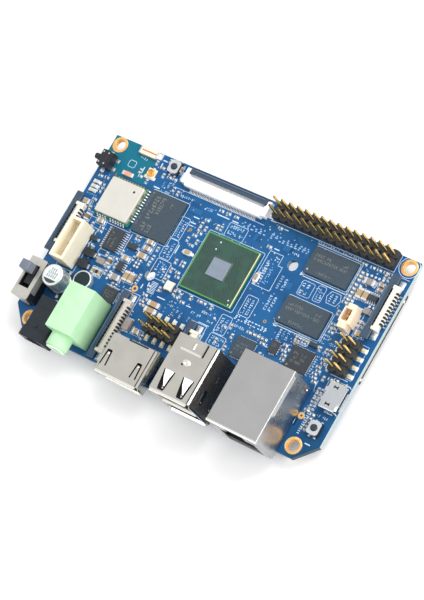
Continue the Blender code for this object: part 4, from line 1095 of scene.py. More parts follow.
# ---- ethernet port
x0, x1, y0, y1, _, z1 = node_box("ethernet_port_shell")
z0 = 0.2
with Piece("ethernet_port_housing", "ethernet_port_shell", "shell_steel") as part:
    sheet, reach = 0.3, 0.7
    front = y0 + 0.3
    bend = z1 - sheet - 0.02

    def folded_corner(x, s, low):
        return [(x + s * sheet, low), (x + s * sheet, z1 - sheet), (x + s * reach, z1 - sheet),
                (x + s * reach, z1), (x + s * sheet, z1),
                (x + s * sheet * 0.5, z1 - sheet * 0.13),
                (x + s * sheet * 0.13, z1 - sheet * 0.5), (x, z1 - sheet)]

    part.prism([(x0, z0)] + folded_corner(x0, 1, z0), front, y1, "steel_grey", axis="y")
    fold = folded_corner(x1, -1, bend) + [(x1, bend)]
    part.prism(fold[::-1], front, y1, "steel_grey", axis="y")
    part.plate(rect(front, y1, z0, bend), [circle(17.1, 2.3, 0.32, 12)], x1 - sheet, x1,
               "steel_grey", "x")
    part.plate(rect(x0 + reach, x1 - reach, front, y1), [], z1 - sheet, z1, "steel_grey")
    part.box(x0 + sheet, x1 - sheet, y1 - sheet, y1, z0, z1 - sheet, "steel_grey")
    # the front top lip is painted as a highlight
    part.prism([(y0 + 0.5, z1 - 0.25), (y0 + 0.5, z1 + 0.015), (y0 + 0.15, z1 - 0.02),
                (y0, z1 - 0.28), (y0, z1 - 0.75), (y0 + 0.3, z1 - 0.75)],
               x0 + 0.1, x1 - 0.1, "steel_highlight", axis="x")
    # front frame with its opening and the two lamp windows
    opening = [(77.3, 0.9), (88.0, 0.9), (88.0, 8.9), (85.4, 8.9), (85.4, 11.5), (79.6, 11.5),
               (79.6, 8.9), (77.3, 8.9)]
    part.plate(rect(x0 + 0.3, x1 - 0.3, z0 + 0.2, z1 - 0.4),
               [opening[::-1], rect(75.5, 78.2, 9.8, 12.2), rect(87.0, 89.5, 9.8, 12.2)],
               y0 + 0.05, y0 + 0.35, "steel_grey", "y")
    # flap folded over the east wall, standing off it at the bottom
    flap = [(5.2, z1 - 0.32, 0.02), (y1 - 0.9, z1 - 0.32, 0.02), (y1 - 1.4, z1 - 1.55, 0.22),
            (6.0, z1 - 1.55, 0.22)]
    part.add([(x1 + off - inner, y, z) for inner in (0, 0.22) for y, z, off in flap],
             [(3, 2, 1, 0), (4, 5, 6, 7), (0, 1, 5, 4), (1, 2, 6, 5), (2, 3, 7, 6), (3, 0, 4, 7)],
             "steel_grey")
    for x, s in ((x0, -1), (x1, 1)):
        part.lathe((17.1, 2.3), [(0, x + s * 0.3), (0.25, x + s * 0.26), (0.42, x + s * 0.08),
                                 (0.42, x - s * 0.1), (0, x - s * 0.1)], 16, "steel", "x")
        part.box(x, x - s * 0.34, 8.1, 9.9, -2.7, 0.1, "steel", 0.03)
        part.box(x - s * 0.3, x + s * 0.5, 7.95, 10.05, -1.7, 0.0, "trace")
    part.box(x0 + 1.5, x1 - 1.5, y1 - 0.02, y1 + 0.2, 0.8, z1 - 2.2, "steel_grey", 0.08)
keep("ethernet_port_insert", "black")
with Piece("ethernet_port_inner", slot="black_plastic") as part:
    for start, end in ((75.6, 78.1), (87.1, 89.4)):
        part.box(start, end, y0 + 0.1, 3.0, 9.9, 12.1, "guide", 0.12)
    for i in range(8):
        x = 78.95 + 1.07 * i
        part.prism([(1.0, 2.6), (1.3, 2.6), (8.9, 6.0), (8.9, 6.3), (8.6, 6.3), (1.0, 2.9)],
                   x - 0.22, x + 0.22, "gold_pin", axis="x")


# ---- micro usb port, open towards the east
def flanged_slot(cy):
    """Slot in the shape of a sideways H."""
    wide, slim = 0.42, 0.2
    return [(96.5, cy - wide), (96.8, cy - wide), (96.8, cy - slim), (97.5, cy - slim),
            (97.5, cy - wide), (97.85, cy - wide), (97.85, cy + wide), (97.5, cy + wide),
            (97.5, cy + slim), (96.8, cy + slim), (96.8, cy + wide), (96.5, cy + wide)]


x0, x1, y0, y1, z0, z1 = node_box("micro_usb_shell")
with Piece("micro_usb_housing", "micro_usb_shell", "shell_steel") as part:
    sheet = 0.25
    mouth = x1 - 0.75
    part.plate([(x0 + 0.35, y0 + 0.5), (mouth, y0 + 0.5), (mouth, y1 - 0.5),
                (x0 + 0.35, y1 - 0.5), (x0 + 0.35, y1 - 2.0), (x0, y1 - 2.0), (x0, y1 - 3.0),
                (x0 + 0.5, y1 - 3.2), (x0 + 0.5, y0 + 3.0), (x0, y0 + 2.8), (x0, y0 + 1.9),
                (x0 + 0.35, y0 + 1.9)],
               [flanged_slot(y1 - 1.35), flanged_slot(y0 + 1.45)], z1 - sheet, z1, "steel_blue")
    for y, s in ((y0, 1), (y1, -1)):
        wall = [(y + s * 0.75, z0), (y + s * 1.6, z0), (y + s * 1.6, z0 + sheet),
                (y + s * 0.85, z0 + sheet), (y + s * sheet, 1.1), (y + s * sheet, z1 - sheet),
                (y + s * 0.5, z1 - sheet), (y + s * 0.5, z1), (y + s * 0.28, z1),
                (y + s * 0.08, z1 - 0.08), (y, z1 - 0.28), (y, 1.0)]
        part.prism(wall[::s], x0 + 0.3, mouth, "steel_blue", axis="x")
    part.box(x0 + 0.5, mouth, y0 + 1.5, y1 - 1.5, z0, z0 + sheet, "steel_blue")
    part.box(x0 + 0.35, x0 + 0.55, y0 + 0.4, y1 - 0.4, z0 + 0.2, z1 - sheet, "steel_blue")
    part.prism([(mouth - 0.02, z1 - sheet), (mouth - 0.02, z1), (mouth + 0.25, z1 + 0.06),
                (x1, z1 + 0.2), (x1 + 0.02, z1), (mouth + 0.3, z1 - 0.2)],
               y0 + 0.45, y1 - 0.45, "steel_blue", axis="y")
    low_lip = [(mouth - 0.02, z0 + sheet), (mouth - 0.02, z0), (mouth + 0.25, z0 - 0.02),
               (x1, z0 - 0.12), (x1 + 0.02, z0 + 0.08), (mouth + 0.3, z0 + 0.2)]
    part.prism(low_lip[::-1], y0 + 1.2, y1 - 1.2, "steel_blue", axis="y")
    for y, s in ((y0, -1), (y1, 1)):
        lip = [(mouth - 0.02, y - s * sheet), (mouth - 0.02, y), (x1 - 0.05, y + s * 0.22),
               (x1, y)]
        part.prism(lip[::s], 1.2, z1 - 0.25, "steel_blue")
        part.box(96.2, 97.4, y - s * 0.3, y + s * 0.35, -1.75, 0.25, "lead", 0.06)
keep("micro_usb_tongue", "black")
with Piece("micro_usb_contacts", slot="black_plastic") as part:
    for i in range(5):
        y = (y0 + y1) / 2 + (i - 2) * 0.65
        part.box(96.3, 99.2, y - 0.14, y + 0.14, 1.36, 1.47, "gold_pin")
        part.box(x0 - 0.9, x0 + 0.4, y - 0.13, y + 0.13, 0.03, 0.17, "lead")
        part.box(x0 - 1.1, x0 - 0.1, y - 0.19, y + 0.19, 0.0, 0.05, "tin")

# ================================================================ flat-cable connectors
# name: x, y, turn, lock length, housing length, depth, lock bar's width, eared, material.
# Each is built with its length along local x and its lock at the low-y side.
CABLE_CONNECTORS = {
    "display": (40.4, 59.4, 180, 25.4, 25.4, 5.6, 1.35, True, "fpc_white"),
    "camera": (95.1, 45.05, -90, 18.7, 13.0, 3.75, 1.45, False, "fpc"),
    "sensor": (-0.7, 31.3, -90, 18.6, 13.0, 4.35, 1.35, False, "fpc"),
    # the panel housing takes the darker copy of the housing plastic: painted shade
    "panel": (28.1, 10.7, -90, 20.6, 16.2, 4.3, 1.30, False, "fpc_grey"),
    "touch": (50.4, 10.7, -90, 20.6, 16.2, 4.3, 1.35, False, "fpc"),
}
HOUSING_TOP = 2.0
FLOOR_TOP = 0.5
PIVOT_Z = 1.7


def eared_housing(part, plastic, lock_half, inner, front, depth, pivot_y):
    """Housing whose end ears carry the lock's pivots."""
    top = HOUSING_TOP
    part.box(-inner - 0.2, inner + 0.2, 0.4, depth - 0.2, 0.08, FLOOR_TOP, plastic, 0.05)
    part.prism([(front + 0.9, FLOOR_TOP - 0.05), (depth - 0.05, 0.1), (depth, 0.3),
                (depth, top - 0.25), (depth - 0.25, top), (depth - 2.5, top),
                (front + 0.5, top - 0.35)], -inner - 0.05, inner + 0.05, plastic, axis="x")
    ear = [(0.45, 0.08), (depth - 0.6, 0.08), (depth - 0.6, top - 0.1), (depth - 0.7, top),
           (0.75, top), (0.45, top - 0.35)]
    for s in (-1, 1):
        middle = s * (lock_half + 0.75)
        part.plate(ear, [circle(pivot_y, PIVOT_Z, 0.29, 14)], s * (lock_half + 0.15), middle,
                   plastic, "x")
        part.prism(ear, middle, s * (lock_half + 1.25), plastic, axis="x")
        ends = s * inner, s * (lock_half + 0.2)
        part.box(*ends, front + 0.02, depth - 0.62, 0.08, top, plastic, 0.08)
        part.box(*ends, 0.47, front + 0.1, 0.08, 0.6, plastic, 0.03)


def plain_housing(part, plastic, half, inner, front, depth, pivot_y, contacts, deep_shade_blocks):
    """Housing with pivots in its end walls and a row of black blocks at its rear, painted shade for
    the contact cavities.
    """
    top = HOUSING_TOP
    part.box(-inner - 0.2, inner + 0.2, 0.35, depth - 0.2, 0.08, FLOOR_TOP, plastic, 0.05)
    rear = depth - 1.6
    part.prism([(front + 0.55, FLOOR_TOP - 0.05), (rear + 0.2, FLOOR_TOP - 0.05),
                (depth - 0.05, 0.1), (depth, 0.3), (depth, top - 0.2), (depth - 0.2, top),
                (rear, top), (front + 0.35, top - 0.5)],
               -inner - 0.05, inner + 0.05, plastic, axis="x")
    wall = [(front + 0.02, 0.08), (depth, 0.08), (depth, top - 0.1), (depth - 0.1, top),
            (front + 0.2, top), (front + 0.02, top - 0.12)]
    for s in (-1, 1):
        part.prism(wall, s * inner, s * (half - 0.5), plastic, axis="x")
        part.plate(wall, [circle(pivot_y, PIVOT_Z, 0.29, 14)], s * (half - 0.5), s * half,
                   plastic, "x")
        part.box(s * inner, s * (half - 0.32), 0.35, front + 0.1, 0.08, 0.5, plastic, 0.03)
    # black blocks at the rear: painted shade in the contact cavities
    for i, x in enumerate(contacts):
        if deep_shade_blocks:
            part.box(x - 0.3, x + 0.3, depth - 0.3, depth + 0.42, 0.45, top + 0.006, "black")
            if i < len(contacts) - 1:
                part.box(x + 0.34, x + 0.66, depth - 0.1, depth + 0.38, 0.5, top - 0.06, plastic)
        else:
            part.box(x - 0.3, x + 0.3, depth - 0.5, depth + 0.02, 0.45, top + 0.006, "black")
    # a dark strip on the floor in front, under the lock: painted shade
    part.box(-inner + 0.1, inner - 0.1, 0.45, front + 0.9, FLOOR_TOP - 0.02, FLOOR_TOP + 0.03,
             "slate_shade")


def cable_contacts(part, contacts, half, lock_half, front, depth, eared):
    """Contact tails along the rear, and solder tabs at both ends."""
    width, foot = (0.09, 0.85) if eared else (0.14, 1.0)
    for x in contacts:
        part.prism([(depth - 0.1, 0.32), (depth + 0.25, 0.3), (depth + 0.35, 0.03),
                    (depth + foot, 0.03), (depth + foot, 0.14), (depth + 0.45, 0.16),
                    (depth + 0.3, 0.5), (depth - 0.1, 0.52)], x - width, x + width,
                   "tin" if eared else "lead", axis="x")
        part.box(x - width - 0.05, x + width + 0.05, depth + 0.2, depth + (1.0 if eared else 0.9),
                 0.0, 0.045, "tin" if eared else "cap_grey")
        start, end, lift = (front + 0.55, front + 1.6, 0.08) if eared else (0.3, front + 0.5, 0.06)
        part.box(x - width, x + width, start, end, FLOOR_TOP - 0.05, FLOOR_TOP + lift, "lead")
    for s in (-1, 1):
        if eared:
            part.box(s * (lock_half + 0.6), s * (lock_half + 2.9), 1.9, 4.3, 0.0, 0.06, "tin", 0.02)
            part.box(s * (lock_half + 1.1), s * (lock_half + 2.4), 2.2, 3.9, 0.03, 0.45, "tin",
                     0.12)
        else:
            part.box(s * (half - 0.2), s * (half + 2.1), 2.05, 3.85, 0.0, 0.06, "tin", 0.02)
            part.box(s * (half - 0.1), s * (half + 1.75), 2.3, 3.6, 0.03, 0.42, "tin", 0.1)


def eared_lock(part, lock_half, pivot_y):
    low = 0.8
    part.prism([(0.05, low + 0.2), (0.25, low + 0.02), (pivot_y - 0.05, low + 0.35),
                (pivot_y + 0.17, PIVOT_Z - 0.12), (pivot_y + 0.12, PIVOT_Z + 0.15),
                (pivot_y - 0.1, 1.94), (0.22, 1.94), (0.03, 1.72)],
               -lock_half, lock_half, "lock", axis="x")
    # a dark strip along the front top edge: painted shade
    part.prism([(0.05, 1.9), (0.3, 1.9), (0.3, 2.03), (0.1, 2.03)],
               -lock_half + 0.6, lock_half - 0.6, "slate_shade", axis="x")
    # a pale stripe and a dark stripe across the top: painted highlight and painted shade
    stripe_half = lock_half - 1.15
    part.box(-stripe_half, stripe_half, 0.42, 0.66, 1.93, 1.955, "slate_highlight")
    part.box(-stripe_half, stripe_half, 0.8, 0.92, 1.9, 1.95, "slate_shade")
    for s in (-1, 1):
        part.box(s * (lock_half - 1.1), s * lock_half, -0.12, pivot_y + 0.1, low + 0.15, 1.95,
                 "lock", 0.1)


def plain_lock(part, lock_half, half, pivot_y, contacts):
    low, inner_y = 0.92, pivot_y - 0.6
    part.prism([(0.0, low + 0.22), (0.22, low), (inner_y - 0.06, low), (inner_y, low + 0.12),
                (inner_y, 1.72), (inner_y - 0.22, 1.94), (0.24, 1.94), (0.0, 1.74)],
               -lock_half + 0.04, lock_half - 0.04, "lock", axis="x")
    # a pale stripe and a dark stripe across the top: painted highlight and painted shade
    part.box(-half + 0.4, half - 0.4, 0.28, 0.44, 1.93, 1.95, "slate_highlight")
    part.box(-half + 0.4, half - 0.4, inner_y - 0.3, inner_y - 0.16, 1.9, 1.95, "slate_shade")
    for s in (-1, 1):
        part.prism([(0.0, low + 0.25), (0.3, low + 0.02), (pivot_y + 0.3, low + 0.35),
                    (pivot_y + 0.43, PIVOT_Z - 0.2), (pivot_y + 0.4, PIVOT_Z + 0.1),
                    (pivot_y + 0.22, 1.95), (0.3, 1.95), (0.0, 1.7)],
                   s * (half + 0.19), s * lock_half, "lock", axis="x")
    for x in contacts:
        part.box(x - 0.16, x + 0.16, inner_y - 0.34, inner_y - 0.04, 1.9, 1.955, "lock")


for name, row in CABLE_CONNECTORS.items():
    x, y, turn, lock_length, length, depth, bar, eared, plastic = row
    half, lock_half = length / 2, lock_length / 2
    pivot_y = bar + (0.35 if eared else 0.6)
    front = pivot_y + 0.45 if eared else pivot_y - 0.35
    inner = lock_half - 0.25 if eared else half - 0.9
    pitch = 0.5 if eared else 1.0
    count = int((length - (3.4 if eared else 2.4)) / pitch)
    contacts = [(i - (count - 1) / 2) * pitch for i in range(count)]
    with Piece(name + "_connector_housing", name + "_cable_connector", "connector_cream") as part:
        part.place(x, y, turn)
        if eared:
            eared_housing(part, plastic, lock_half, inner, front, depth, pivot_y)
        else:
            plain_housing(part, plastic, half, inner, front, depth, pivot_y, contacts,
                          deep_shade_blocks=name == "camera")
        part.box(-inner + 0.3, inner - 0.3, front + (1.05 if eared else 0.75),
                 front + (1.15 if eared else 0.83), HOUSING_TOP - 0.02, HOUSING_TOP + 0.004,
                 "cap_grey")
    with Piece(name + "_connector_contacts", slot="shell_steel") as part:
        part.place(x, y, turn)
        cable_contacts(part, contacts, half, lock_half, front, depth, eared)
    lock = name + "_cable_lock"
    with Piece(name + "_lock_bar", lock, "lock_grey", body=lock) as part:
        part.place(x, y, turn)
        if eared:
            eared_lock(part, lock_half, pivot_y)
            pivot_ends = lock_half - 0.3, lock_half + 0.5
        else:
            plain_lock(part, lock_half, half, pivot_y, contacts)
            pivot_ends = half - 0.3, half + 0.4
        for s in (-1, 1):
            part.disc(pivot_y, PIVOT_Z, 0.19, s * pivot_ends[0], s * pivot_ends[1], "lock", 12, "x")


# ================================================================ pin headers
def strip_block(part, cx, cy, nx, ny, z0, z1):
    """Header insulator with an octagonal cell round each pin."""
    pitch = PIN_PITCH
    half = pitch / 2 * min(nx, ny)
    n = max(nx, ny)
    edge = []
    for i in range(n):
        a = (i - (n - 1) / 2) * pitch
        edge += [(a - pitch / 2 + 0.06, half - 0.34), (a - pitch / 2 + 0.42, half),
                 (a + pitch / 2 - 0.42, half), (a + pitch / 2 - 0.06, half - 0.34)]
    loop = [(u, -v) for u, v in edge] + edge[::-1]
    if nx < ny:
        loop = [(-v, u) for u, v in loop]
    loop = [(cx + u, cy + v) for u, v in loop]
    part.loft([(loop, z0), (loop, z1 - 0.75)], "strip")
    cell = pitch / 2 - 0.04
    for i in range(nx):
        for j in range(ny):
            x, y = cx + (i - (nx - 1) / 2) * pitch, cy + (j - (ny - 1) / 2) * pitch
            part.loft([(square(x, y, cell, 0.62), z1 - 0.8), (square(x, y, cell, 0.62), z1 - 0.1),
                       (square(x, y, cell - 0.1, 0.58), z1)], "strip")


def pin(part, x, y, z0, z1, material, half, tip):
    """Square pin, tapered at both ends."""
    body, end = square(x, y, half, 0.05), square(x, y, half * 0.52, 0.03)
    part.loft([(end, z0), (body, z0 + tip), (body, z1 - tip), (end, z1)], material)


x0, x1, y0, y1, _, _ = node_box("gpio_header")
cx, cy = (x0 + x1) / 2, (y0 + y1) / 2
GPIO_PINS = [(cx + (i - 7) * PIN_PITCH, cy + (j - 0.5) * PIN_PITCH)
             for i in range(15) for j in range(2)]
with Piece("gpio_header_strip", "gpio_header", "black_plastic") as part:
    strip_block(part, cx, cy, 15, 2, 0.1, 2.6)
    for x, y in GPIO_PINS:
        part.loft([(square(x, y, 0.5, 0.1), 2.56), (square(x, y, 0.42, 0.08), 2.63)], "black")
with Piece("gpio_header_pins", slot="gold_plating") as part:
    top = 8.49
    for x, y in GPIO_PINS:
        # a pale strip on each pin's east face and a pale tip: painted highlights
        part.box(x + 0.29, x + 0.318, y - 0.1, y + 0.1, 2.7, top - 0.4, "gold_highlight")
        part.loft([(square(x, y, 0.18, 0.03), top - 0.06), (square(x, y, 0.15, 0.03), top)],
                  "gold_highlight")
        pin(part, x, y, -2.95, top, "gold_pin", 0.3, 0.4)
for node, nx, ny in (("middle_header", 4, 2), ("side_header", 2, 4)):
    x0, x1, y0, y1, _, _ = node_box(node)
    cx, cy = (x0 + x1) / 2, (y0 + y1) / 2
    along_x = nx > ny
    with Piece(node + "_strip", node, "black_plastic") as part:
        strip_block(part, cx, cy, nx, ny, 0.7, 3.2)
    with Piece(node + "_pins", slot="gold_plating") as part:
        for i in range(4):
            for s in (-1, 1):
                along, across = (i - 1.5) * PIN_PITCH, s * PIN_PITCH / 2
                x, y = (cx + along, cy + across) if along_x else (cx + across, cy + along)
                shaft = square(x, y, 0.3, 0.05)
                part.loft([(shaft, 0.25), (shaft, 8.05), (square(x, y, 0.17, 0.03), 8.46)],
                          "gold_pin")
                # a pale strip on the east face and a pale tip: painted highlights
                part.box(x + 0.29, x + 0.318, y - 0.15, y + 0.15, 3.3, 8.0, "gold_highlight")
                part.box(x - 0.14, x + 0.14, y - 0.14, y + 0.14, 8.4, 8.49, "gold_highlight")
                # foot that runs outwards to its pad, in the paler gold of the painted highlights
                part.place(x, y, s * 90 if along_x else 90 - s * 90)
                part.prism([(-0.3, 0.08), (2.4, 0.08), (2.4, 0.4), (0.5, 0.6), (-0.3, 0.6)],
                           -0.22, 0.22, "gold_highlight", axis="y")
                part.box(0.9, 2.9, -0.62, 0.62, 0.0, 0.06, "pad_white", 0.02)
                part.prism([(1.3, 0.05), (2.85, 0.05), (2.5, 0.34), (1.3, 0.3)], -0.5, 0.5,
                           "pad_white", axis="y")
                part.place()

# ---- serial connector
SERIAL_PINS = [(7.7, 22.8 + 2.5 * i) for i in range(4)]
x0, x1, y0, y1, _, _ = node_box("serial_connector")
with Piece("serial_connector_housing", "serial_connector", "connector_cream") as part:
    wall, top = 0.8, 7.0
    outer = rect(x0, x1, y0, y1)
    well = rect(x0 + wall, x1 - wall, y0 + wall, y1 - wall)
    part.prism(outer, 0.15, 1.4, "cream")
    part.plate(outer, [well], 1.35, 4.2, "cream")
    part.plate(outer, [well], 4.15, top - 0.12, "cream")
    part.plate(inset(outer, 0.1), [inset(well, -0.08)], top - 0.14, top, "cream")
    # the well's floor in the glowing cream: painted light
    part.box(x0 + wall + 0.02, x1 - wall - 0.02, y0 + wall + 0.02, y1 - wall - 0.02, 1.38, 1.5,
             "cream_in", 0.03)
with Piece("serial_connector_pins", slot="shell_steel") as part:
    for x, y in SERIAL_PINS:
        pin(part, x, y, -2.9, 5.8, "lead", 0.32, 0.3)

# ---- battery connector
x0, x1, y0, y1, _, z1 = node_box("battery_connector")
with Piece("battery_connector_housing", "battery_connector", "connector_cream") as part:
    outline = [(88.9, 36.6), (89.3, 36.6), (89.3, 35.1), (91.7, 35.1), (91.7, 36.6),
               (92.3, 36.6), (92.3, 41.0), (91.9, 41.0), (91.9, 42.1), (89.5, 42.1),
               (89.5, 41.0), (88.9, 41.0)]
    well = rect(89.3, 91.3, 37.2, 40.5)
    part.prism(outline, 0.1, 1.42, "peach")
    part.plate(outline, [well], 1.4, z1 - 0.1, "peach")
    part.plate(inset(outline, 0.07), [inset(well, -0.06)], z1 - 0.12, z1, "peach")
    # the well's floor in the glowing cream: painted light
    part.box(89.34, 91.26, 37.24, 40.46, 1.4, 1.5, "cream_in", 0.03)
    for y in (38.2, 39.5):
        part.prism([(90.5, 1.45), (91.2, 1.45), (91.2, 3.1), (90.95, 4.3), (90.45, 4.5),
                    (90.3, 3.1)], y - 0.36, y + 0.36, "copper", axis="y")
    for y in (38.2, 39.5):
        shaft = square(90.3, y, 0.2, 0.04)
        part.loft([(shaft, 1.3), (shaft, 3.5), (square(90.3, y, 0.1, 0.02), 3.78)], "lead")
        part.box(x1 - 0.1, x1 + 1.0, y - 0.25, y + 0.25, 0.02, 0.3, "lead", 0.04)
        part.box(x1, x1 + 1.25, y - 0.45, y + 0.45, 0.0, 0.05, "tin")
    for y in (y0 - 0.1, y1 + 0.1):
        part.box(x0 + 0.6, x1 - 0.6, y - 0.55, y + 0.55, 0.0, 0.05, "tin")
        part.box(x0 + 0.9, x1 - 0.9, y - 0.4, y + 0.4, 0.02, 0.4, "lead", 0.06)

# ================================================================ switch and buttons
with Piece("slide_switch_body", "power_switch_body", "black_plastic") as part:
    body = (0.85, 5.65, 6.55, 17.45)
    part.box(*body, 0.15, 3.02, "black", 0.08)
    part.plate(rect(*body), [rect(1.25, 4.95, 7.3, 16.7)], 3.0, 5.85, "black")
    for y in (9.4, 12.0, 14.6):
        part.box(2.97, 3.53, y - 0.28, y + 0.28, -2.8, 0.2, "lead", 0.05)
with Piece("slide_switch_frame", "power_switch_frame", "shell_steel") as part:
    opening = rect(1.3, 4.7, 9.0, 15.8)
    plate = [(0.5, 6.25), (0.85, 6.0), (5.65, 6.0), (6.0, 6.25), (6.0, 17.75), (5.65, 18.0),
             (0.85, 18.0), (0.5, 17.75)]
    part.plate(plate, [opening], 6.1, 6.38, "frame_metal")
    part.plate(inset(plate, 0.06), [inset(opening, -0.05)], 6.36, 6.45, "frame_metal")
    for y, s in ((6.0, 1), (18.0, -1)):
        part.prism([(1.2, 6.12), (5.3, 6.12), (4.9, 2.2), (4.0, 0.2), (3.7, -2.7), (2.8, -2.7),
                    (2.5, 0.2), (1.6, 2.2)], y + s * 0.02, y + s * 0.34, "frame_metal", axis="y")
    for x in (0.5, 5.7):
        part.box(x, x + 0.3, 8.3, 16.2, 3.6, 6.15, "frame_metal")
with Piece("slide_switch_knob", "power_switch_knob", "black_plastic",
           body="power_switch_knob") as part:
    x0, x1, y0, y1 = 1.55, 4.45, 12.7, 15.35
    outline = rect(x0, x1, y0, y1, 0.12)
    part.box(1.95, 4.6, 10.25, 15.45, 3.45, 5.8, "black", 0.05)
    part.prism(outline, 5.7, 8.0, "black")
    part.prism(outline, 7.98, 11.25, "knob", bevel=0.14)
    for i in range(5):
        x = x0 + 0.14 + 0.58 * i
        part.box(x, x + 0.3, y0 + 0.1, y1 - 0.1, 11.1, 11.39, "knob", 0.04)
    for i in range(4):
        z = 8.5 + 0.68 * i
        part.box(x1 - 0.05, x1 + 0.04, y0 + 0.2, y1 - 0.2, z, z + 0.3, "knob")


def push_button(name):
    """Base with leads at its two ends, and the moving cap."""
    base, plunger = name + "_base", name + "_plunger"
    x0, x1, y0, y1, _, top = node_box(base)
    px0, px1, py0, py1, pz0, pz1 = node_box(plunger)
    cx, cy = (px0 + px1) / 2, (py0 + py1) / 2
    radius = min(px1 - px0, py1 - py0) / 2
    along_x = (x1 - x0) > (y1 - y0)
    end = (x1 - x0) / 2 if along_x else (y1 - y0) / 2
    with Piece(name + "_housing", base, "shield_nickel") as part:
        def end_box(s, start, stop, low, high, *rest):
            along, across = (s * (end + start), s * (end + stop)), (low, high)
            (ax, bx), (ay, by) = (along, across) if along_x else (across, along)
            part.box(cx + ax, cx + bx, cy + ay, cy + by, *rest)

        outline = rect(x0, x1, y0, y1, 0.15)
        part.prism(outline, 0.08, 0.4, "black")
        part.plate(inset(outline, 0.02), [circle(cx, cy, max(radius + 0.25, 0.8), 28)], 0.38,
                   top - 0.14, "black")
        cut = [(x0 + 0.5, y0 + 0.05), (x1 - 0.5, y0 + 0.05), (x1 - 0.05, y0 + 0.5),
               (x1 - 0.05, y1 - 0.5), (x1 - 0.5, y1 - 0.05), (x0 + 0.5, y1 - 0.05),
               (x0 + 0.05, y1 - 0.5), (x0 + 0.05, y0 + 0.5)]
        cover = cut if not along_x or (y1 - y0) > 2.4 else inset(outline, 0.08)
        part.plate(cover, [circle(cx, cy, radius + 0.1, 28)], top - 0.16, top, "tact")
        for s in (-1, 1):
            for y in (-0.85, 0.85):
                end_box(s, -0.05, 0.5, y - 0.3, y + 0.3, 0.02, 0.18, "lead", 0.03)
        for s in (-1, 1):
            end_box(s, -0.02, 0.06, -0.5, 0.5, 0.3, top - 0.1, "tact", 0.02)
    with Piece(name + "_cap", plunger, "black_plastic", body=plunger) as part:
        if abs((px1 - px0) - (py1 - py0)) < 0.15:
            part.lathe((cx, cy), [(0, pz0), (radius - 0.01, pz0), (radius - 0.01, pz1 - 0.15),
                                  (radius - 0.12, pz1 - 0.04), (radius - 0.3, pz1), (0, pz1)],
                       32, "tact_cap")
        else:
            part.prism(rounded(px0 + 0.005, px1 - 0.005, py0 + 0.005, py1 - 0.005, 0.3), pz0, pz1,
                       "white", bevel=0.1)


push_button("reset_button")
push_button("recovery_button")

cy, cz = 51.75, 1.9
with Piece("side_button_housing", "side_button_body", "black_plastic") as part:
    body = inset([(49.4, 0.2), (54.0, 0.2), (54.0, 3.15), (53.85, 3.3), (49.55, 3.3),
                  (49.4, 3.15)], 0.02)
    part.plate(body, [circle(cy, cz, 0.99, 28)], 0.95, 2.95, "black", "x")
    part.prism(body, 2.94, 4.3, "black", axis="x")
    part.plate([(49.35, 0.3), (54.05, 0.3), (54.05, 3.4), (53.9, 3.5), (49.5, 3.5),
                (49.35, 3.4)], [circle(cy, cz, 1.08, 28)], 0.86, 0.98, "black", "x")
    part.box(0.9, 3.5, 49.45, 53.95, 3.28, 3.5, "black", 0.06)
    for x in (1.35, 3.1):
        for y in (50.1, 53.3):
            part.box(x - 0.2, x + 0.2, y - 0.2, y + 0.2, 3.48, 3.53, "tact")
    for y in (49.3, 53.92):
        part.box(1.3, 3.3, y, y + 0.18, 0.3, 3.45, "black", 0.04)
    for s in (-1, 1):
        tab, lead = 51.7 + s * 2.75, 51.7 + s * 1.3
        part.box(1.2, 2.4, tab - 0.45, tab + 0.45, 0.0, 0.2, "tin", 0.05)
        part.box(4.2, 5.0, lead - 0.35, lead + 0.35, 0.02, 0.2, "lead", 0.04)
        part.box(4.2, 5.4, lead - 0.55, lead + 0.55, 0.0, 0.06, "tin")
with Piece("side_button_cap", "side_button_plunger", "black_plastic",
           body="side_button_plunger") as part:
    part.lathe((cy, cz), [(0, -1.3), (0.68, -1.3), (0.8, -1.22), (0.86, -1.05), (0.88, -0.9),
                          (0.88, 2.4), (0, 2.4)], 32, "black", "x")

# ================================================================ capacitor and microphone
cx, cy = 9.98, 15.12
x0, x1, y0, y1, _, _ = node_box("capacitor_base")
with Piece("capacitor_carrier", "capacitor_base", "black_plastic") as part:
    cut = 1.2
    base = [(x0 + 0.1, y0), (x1 - cut, y0), (x1, y0 + cut), (x1, y1 - cut), (x1 - cut, y1),
            (x0 + 0.1, y1), (x0, y1 - 0.1), (x0, y0 + 0.1)]
    part.prism(base, 0.1, 1.0, "black")
    part.prism(inset(base, 0.08), 0.98, 1.25, "black", bevel=0.08)
    for s in (-1, 1):
        part.box(cx - 0.4, cx + 0.4, cy + s * 2.6, cy + s * 4.1, 0.0, 0.16, "lead", 0.03)
z0, z1 = node_box("capacitor_can")[4:]
with Piece("capacitor_case", "capacitor_can", "capacitor_aluminium", sharp=40) as part:
    radius = 3.15
    part.lathe((cx, cy), [(0, z0), (radius - 0.35, z0), (radius - 0.04, z0 + 0.3),
                          (radius, z0 + 0.5), (radius, z0 + 0.9), (radius - 0.2, z0 + 1.1),
                          (radius - 0.2, z0 + 1.25), (radius, z0 + 1.45), (radius, z1 - 0.5),
                          (radius - 0.06, z1 - 0.24), (radius - 0.22, z1 - 0.06),
                          (radius - 0.42, z1), (radius - 0.6, z1 - 0.05),
                          (radius - 0.7, z1 - 0.08), (0, z1 - 0.08)], 64, "alu")
    part.disc(cx, cy, radius - 0.74, z1 - 0.1, z1 - 0.072, "alu_top", 48)
    # dark segment at the south side of the top
    angles = [math.radians(a) for a in range(-146, -33, 8)]
    part.prism([(cx + radius * 0.79 * math.cos(a), cy + radius * 0.79 * math.sin(a))
                for a in angles], z1 - 0.1, z1 - 0.065, "alu_dark")
    for y, start, end in ((1.45, -1.0, 1.0), (0.45, -1.5, 1.6), (-0.55, -1.6, 1.7)):
        x = start
        while x < end - 0.3:
            for rise in (0.0, 0.3, 0.6):
                low = cy + y - 0.35 + rise
                part.box(cx + x, cx + x + 0.42, low, low + 0.16, z1 - 0.08, z1 - 0.062, "alu_dark")
            x += 0.66

